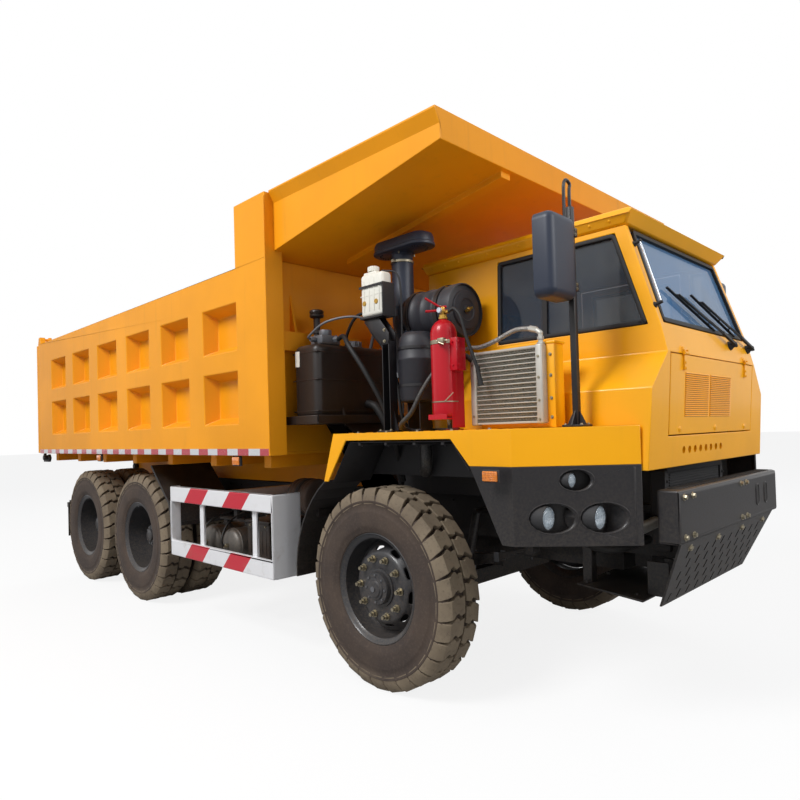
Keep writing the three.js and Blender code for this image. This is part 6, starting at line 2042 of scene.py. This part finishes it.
def cabInside():
    bm = bmesh.new()
    block(bm, (2.30, -0.76, onFloor), (3.70, 0.76, 1.416), 0.004, 1)
    for i in range(24):
        block(bm, (2.98, -0.55 + i * 0.046, 1.414), (3.36, -0.53 + i * 0.046, 1.420), 0.002, 1)
    made = piece("cab_mat", bm, "rubber")
    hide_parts("cab_interior")
    bm = bmesh.new()
    block(bm, (2.42, -0.23, 1.415), (2.90, 0.23, 1.45), 0.008, 2)
    for i in range(7):
        fold, z = 0.006 * (i % 2), i * 0.026
        block(bm, (2.44 + fold, -0.20, 1.452 + z), (2.88 - fold, 0.20, 1.474 + z), 0.010, 2)
    block(bm, (2.42, -0.24, 1.632), (2.90, 0.24, 1.655), 0.006, 2)
    for side in (-1, 1):
        block(bm, (2.42, side * 0.262 - 0.012, 1.62), (2.80, side * 0.262 + 0.012, 1.70), 0.010, 2)
    piece("seat_base", bm, "trim")
    cushion = bmesh.new()
    block(cushion, (2.41, -0.25, 1.65), (2.91, 0.25, 1.765), 0.045, 5)
    for side in (-1, 1):
        block(cushion, (2.43, side * 0.215 - 0.045, 1.70), (2.90, side * 0.215 + 0.045, 1.795),
              0.04, 5)
    seat = piece("seat_cushion", cushion, "seatCloth", sharp=70)
    back = bmesh.new()
    tilt = Matrix.Rotation(math.radians(-9), 4, "Y")
    block(back, (2.35, -0.235, 1.76), (2.47, 0.235, 2.26), 0.05, 5, tilt)
    for side in (-1, 1):
        block(back, (2.385, side * 0.205 - 0.04, 1.80), (2.50, side * 0.205 + 0.04, 2.16), 0.036,
              5, tilt)
    seatBack = piece("seat_back", back, "seatCloth", sharp=70)
    head = bmesh.new()
    block(head, (2.315, -0.14, 2.26), (2.405, 0.14, 2.43), 0.04, 5, tilt)
    headRest = piece("seat_head_rest", head, "seatCloth", sharp=70)
    bm = bmesh.new()
    rodAlong(bm, (3.49, 0, 1.48), (3.262, 0, 1.955), 0.036, 24)
    rodAlong(bm, (3.52, 0, 1.42), (3.44, 0, 1.58), 0.055, 24)
    middle, normal = Vector((3.2385, 0, 1.994)), Vector((-0.463, 0, 0.886))
    place = lay(middle, normal)
    turnedAt(bm, [(0.196 + 0.016 * c, 0.016 * s) for c, s in circle(14)], place, 64, loop=True)
    turnedAt(bm, [(0.0, 0.012), (0.045, 0.012), (0.058, 0.004), (0.06, -0.012), (0.036, -0.05),
                  (0.0, -0.05)], place, 32)
    for turn in (0, 2.4, -2.4):
        inner, outer = [place @ Vector((r * math.cos(turn), r * math.sin(turn), z))
                        for r, z in ((0.05, -0.008), (0.192, 0.0))]
        rodAlong(bm, inner, outer, 0.010, 12)
    piece("steering_wheel", bm, "trim", sharp=50)
    bm = bmesh.new()
    prism(bm, [(3.50, -0.62, 1.4163), (3.66, -0.62, 1.4163), (3.69, -0.62, 1.97),
               (3.44, -0.62, 1.985), (3.39, -0.62, 1.90), (3.50, -0.62, 1.80)], (0, 1.24, 0),
          0.012, 3)
    block(bm, (3.38, -0.24, 1.95), (3.60, 0.24, 2.045), 0.03, 4)
    for y in (-0.50, -0.38, 0.38, 0.50):
        block(bm, (3.402, y - 0.045, 1.845), (3.412, y + 0.045, 1.895), 0.004, 1)
    piece("dashboard", bm, "trim", sharp=45)
    bm = bmesh.new()
    for y in (-0.11, 0.11):
        turned(bm, [(0.0, 3.376), (0.055, 3.376), (0.06, 3.372), (0.064, 3.372), (0.064, 3.39),
                    (0.0, 3.39)], "x", Vector((0, y, 1.997)), 40)
    for y in (-0.04, 0.0, 0.04):
        rod(bm, "x", 0.012, 3.372, 3.39, (y, 1.965), 20)
    piece("gauges", bm, "clearLens")
    bm = bmesh.new()
    rodAlong(bm, (3.02, -0.38, 1.416), (3.06, -0.36, 1.76), 0.011, 16)
    bmesh.ops.create_uvsphere(bm, u_segments=20, v_segments=12, radius=0.03,
                              matrix=Matrix.Translation((3.06, -0.36, 1.775)))
    turned(bm, [(0.0, 1.50), (0.02, 1.50), (0.03, 1.48), (0.034, 1.465), (0.05, 1.45),
                (0.056, 1.43), (0.07, 1.416), (0.0, 1.416)], "z", Vector((3.02, -0.38, 0)), 32)
    for y in (-0.14, 0.02, 0.15):
        block(bm, (3.41, y - 0.035, 1.53), (3.425, y + 0.035, 1.62), 0.004, 1,
              Matrix.Rotation(0.5, 4, "Y"))
        rodAlong(bm, (3.42, y, 1.57), (3.50, y, 1.66), 0.008, 12)
    piece("levers_and_pedals", bm, "rubber")


for word, side in hands:
    frontSpring(word, side)
airTanks()
mufflerPieces()
fuelTank()
axleDetails()
railBolts()
rearLamps()
hoistRings()
cabInside()
print("underside and cab interior ready")


# Frame nodes that keep their shape and take a finish.
plainNodes = {
    "blackPaint": ["mudguard_right", "mudguard_left", "mid_flaps", "hoist_barrel"],
    "chassisPaint": ["chassis_frame", "powertrain", "front_axle", "middle_axle", "rear_axle",
                     "rear_suspension", "knuckle_right", "knuckle_left", "tie_rod"],
    "screenGlass": ["windscreen"],
    "windowGlass": ["side_window_right", "quarter_window_left",
                    "door_window_left"],
    "chrome": ["hoist_stage_1", "hoist_stage_2", "hoist_rod"],
}
for finish, names in plainNodes.items():
    for node in names:
        paintNode(node, finish)


# The floor is nearly white to the camera, and darker to the light that bounces off it.
stage = {"size": 90.0, "bounced": 0.38, "seen": 0.9, "glow": 0.85}


def stageFloor():
    bm = bmesh.new()
    bmesh.ops.create_grid(bm, x_segments=1, y_segments=1, size=stage["size"])
    mesh = bpy.data.meshes.new("floor")
    bm.to_mesh(mesh)
    bm.free()
    floor = bpy.data.objects.new("floor", mesh)
    scene.collection.objects.link(floor)
    material = bpy.data.materials.new("paleFloor")
    graph = Graph(material, "Principled BSDF")
    camera = graph.node("ShaderNodeLightPath", out="Is Camera Ray")
    bounced, seen = [(*[stage[kind]] * 3, 1) for kind in ("bounced", "seen")]
    tint = graph.node("ShaderNodeMix", {"data_type": "RGBA"}, {0: camera, 6: bounced, 7: seen}, 2)
    graph.show("Base Color", tint).show("Roughness", 0.95)
    graph.cover("Material Output", camera * stage["glow"], graph.node("ShaderNodeEmission"))
    mesh.materials.append(material)


eye = {"spot": (5.1036, -3.8589, 1.5894), "yaw": 2.3412, "pitch": 0.0203, "roll": -0.0299,
       "lens": 28.356, "shift": (-0.0198, 0.0224)}


def addCamera():
    yaw, pitch, roll = eye["yaw"], eye["pitch"], eye["roll"]
    ahead = Vector((math.cos(yaw) * math.cos(pitch), math.sin(yaw) * math.cos(pitch),
                    math.sin(pitch)))
    across = ahead.cross(up).normalized()
    above = across.cross(ahead)
    right = across * math.cos(roll) + above * math.sin(roll)
    top = above * math.cos(roll) - across * math.sin(roll)
    data = bpy.data.cameras.new("camera")
    data.sensor_width = 36.0
    data.lens = eye["lens"]
    data.shift_x, data.shift_y = eye["shift"]
    data.clip_end = 300.0
    camera = bpy.data.objects.new("camera", data)
    turn = Matrix((right, top, -ahead)).transposed().to_4x4()
    camera.matrix_world = Matrix.Translation(eye["spot"]) @ turn
    scene.collection.objects.link(camera)
    scene.camera = camera


# What is seen, mirrored or looked through is white, and what lights the part is this sky.
sky = {"color": (0.93, 0.96, 1.0, 1), "strength": 0.36}
lamps = [
    {"name": "key", "spot": (1.0, -9.0, 9.5), "aim": (0, 0, 1.4), "size": 4.0, "power": 1150},
    {"name": "front", "spot": (11.0, 0.5, 6.0), "aim": (1, 0, 1.5), "size": 5.0, "power": 430},
    {"name": "back", "spot": (-9.0, 8.0, 8.0), "aim": (0, 0, 1.5), "size": 6.0, "power": 420},
]


def addLights():
    for lamp in lamps:
        data = bpy.data.lights.new(lamp["name"], "AREA")
        data.size = lamp["size"]
        data.energy = lamp["power"]
        light = bpy.data.objects.new(lamp["name"], data)
        toward = Vector(lamp["aim"]) - Vector(lamp["spot"])
        light.rotation_euler = toward.to_track_quat("-Z", "Y").to_euler()
        light.location = lamp["spot"]
        scene.collection.objects.link(light)
    world = bpy.data.worlds.new("studio")
    scene.world = world
    graph = Graph(world, "Background")
    graph.show("Color", sky["color"]).show("Strength", sky["strength"])
    camera, clear, glossy = [graph.node("ShaderNodeLightPath", out=f"Is {kind} Ray")
                             for kind in ("Camera", "Transmission", "Glossy")]
    white = graph.node("ShaderNodeBackground", {}, {"Color": (1, 1, 1, 1)})
    graph.cover("World Output", camera.larger(clear).larger(glossy), white)


stageFloor()
addCamera()
addLights()
scene.view_settings.view_transform = "Standard"
print("stage ready")
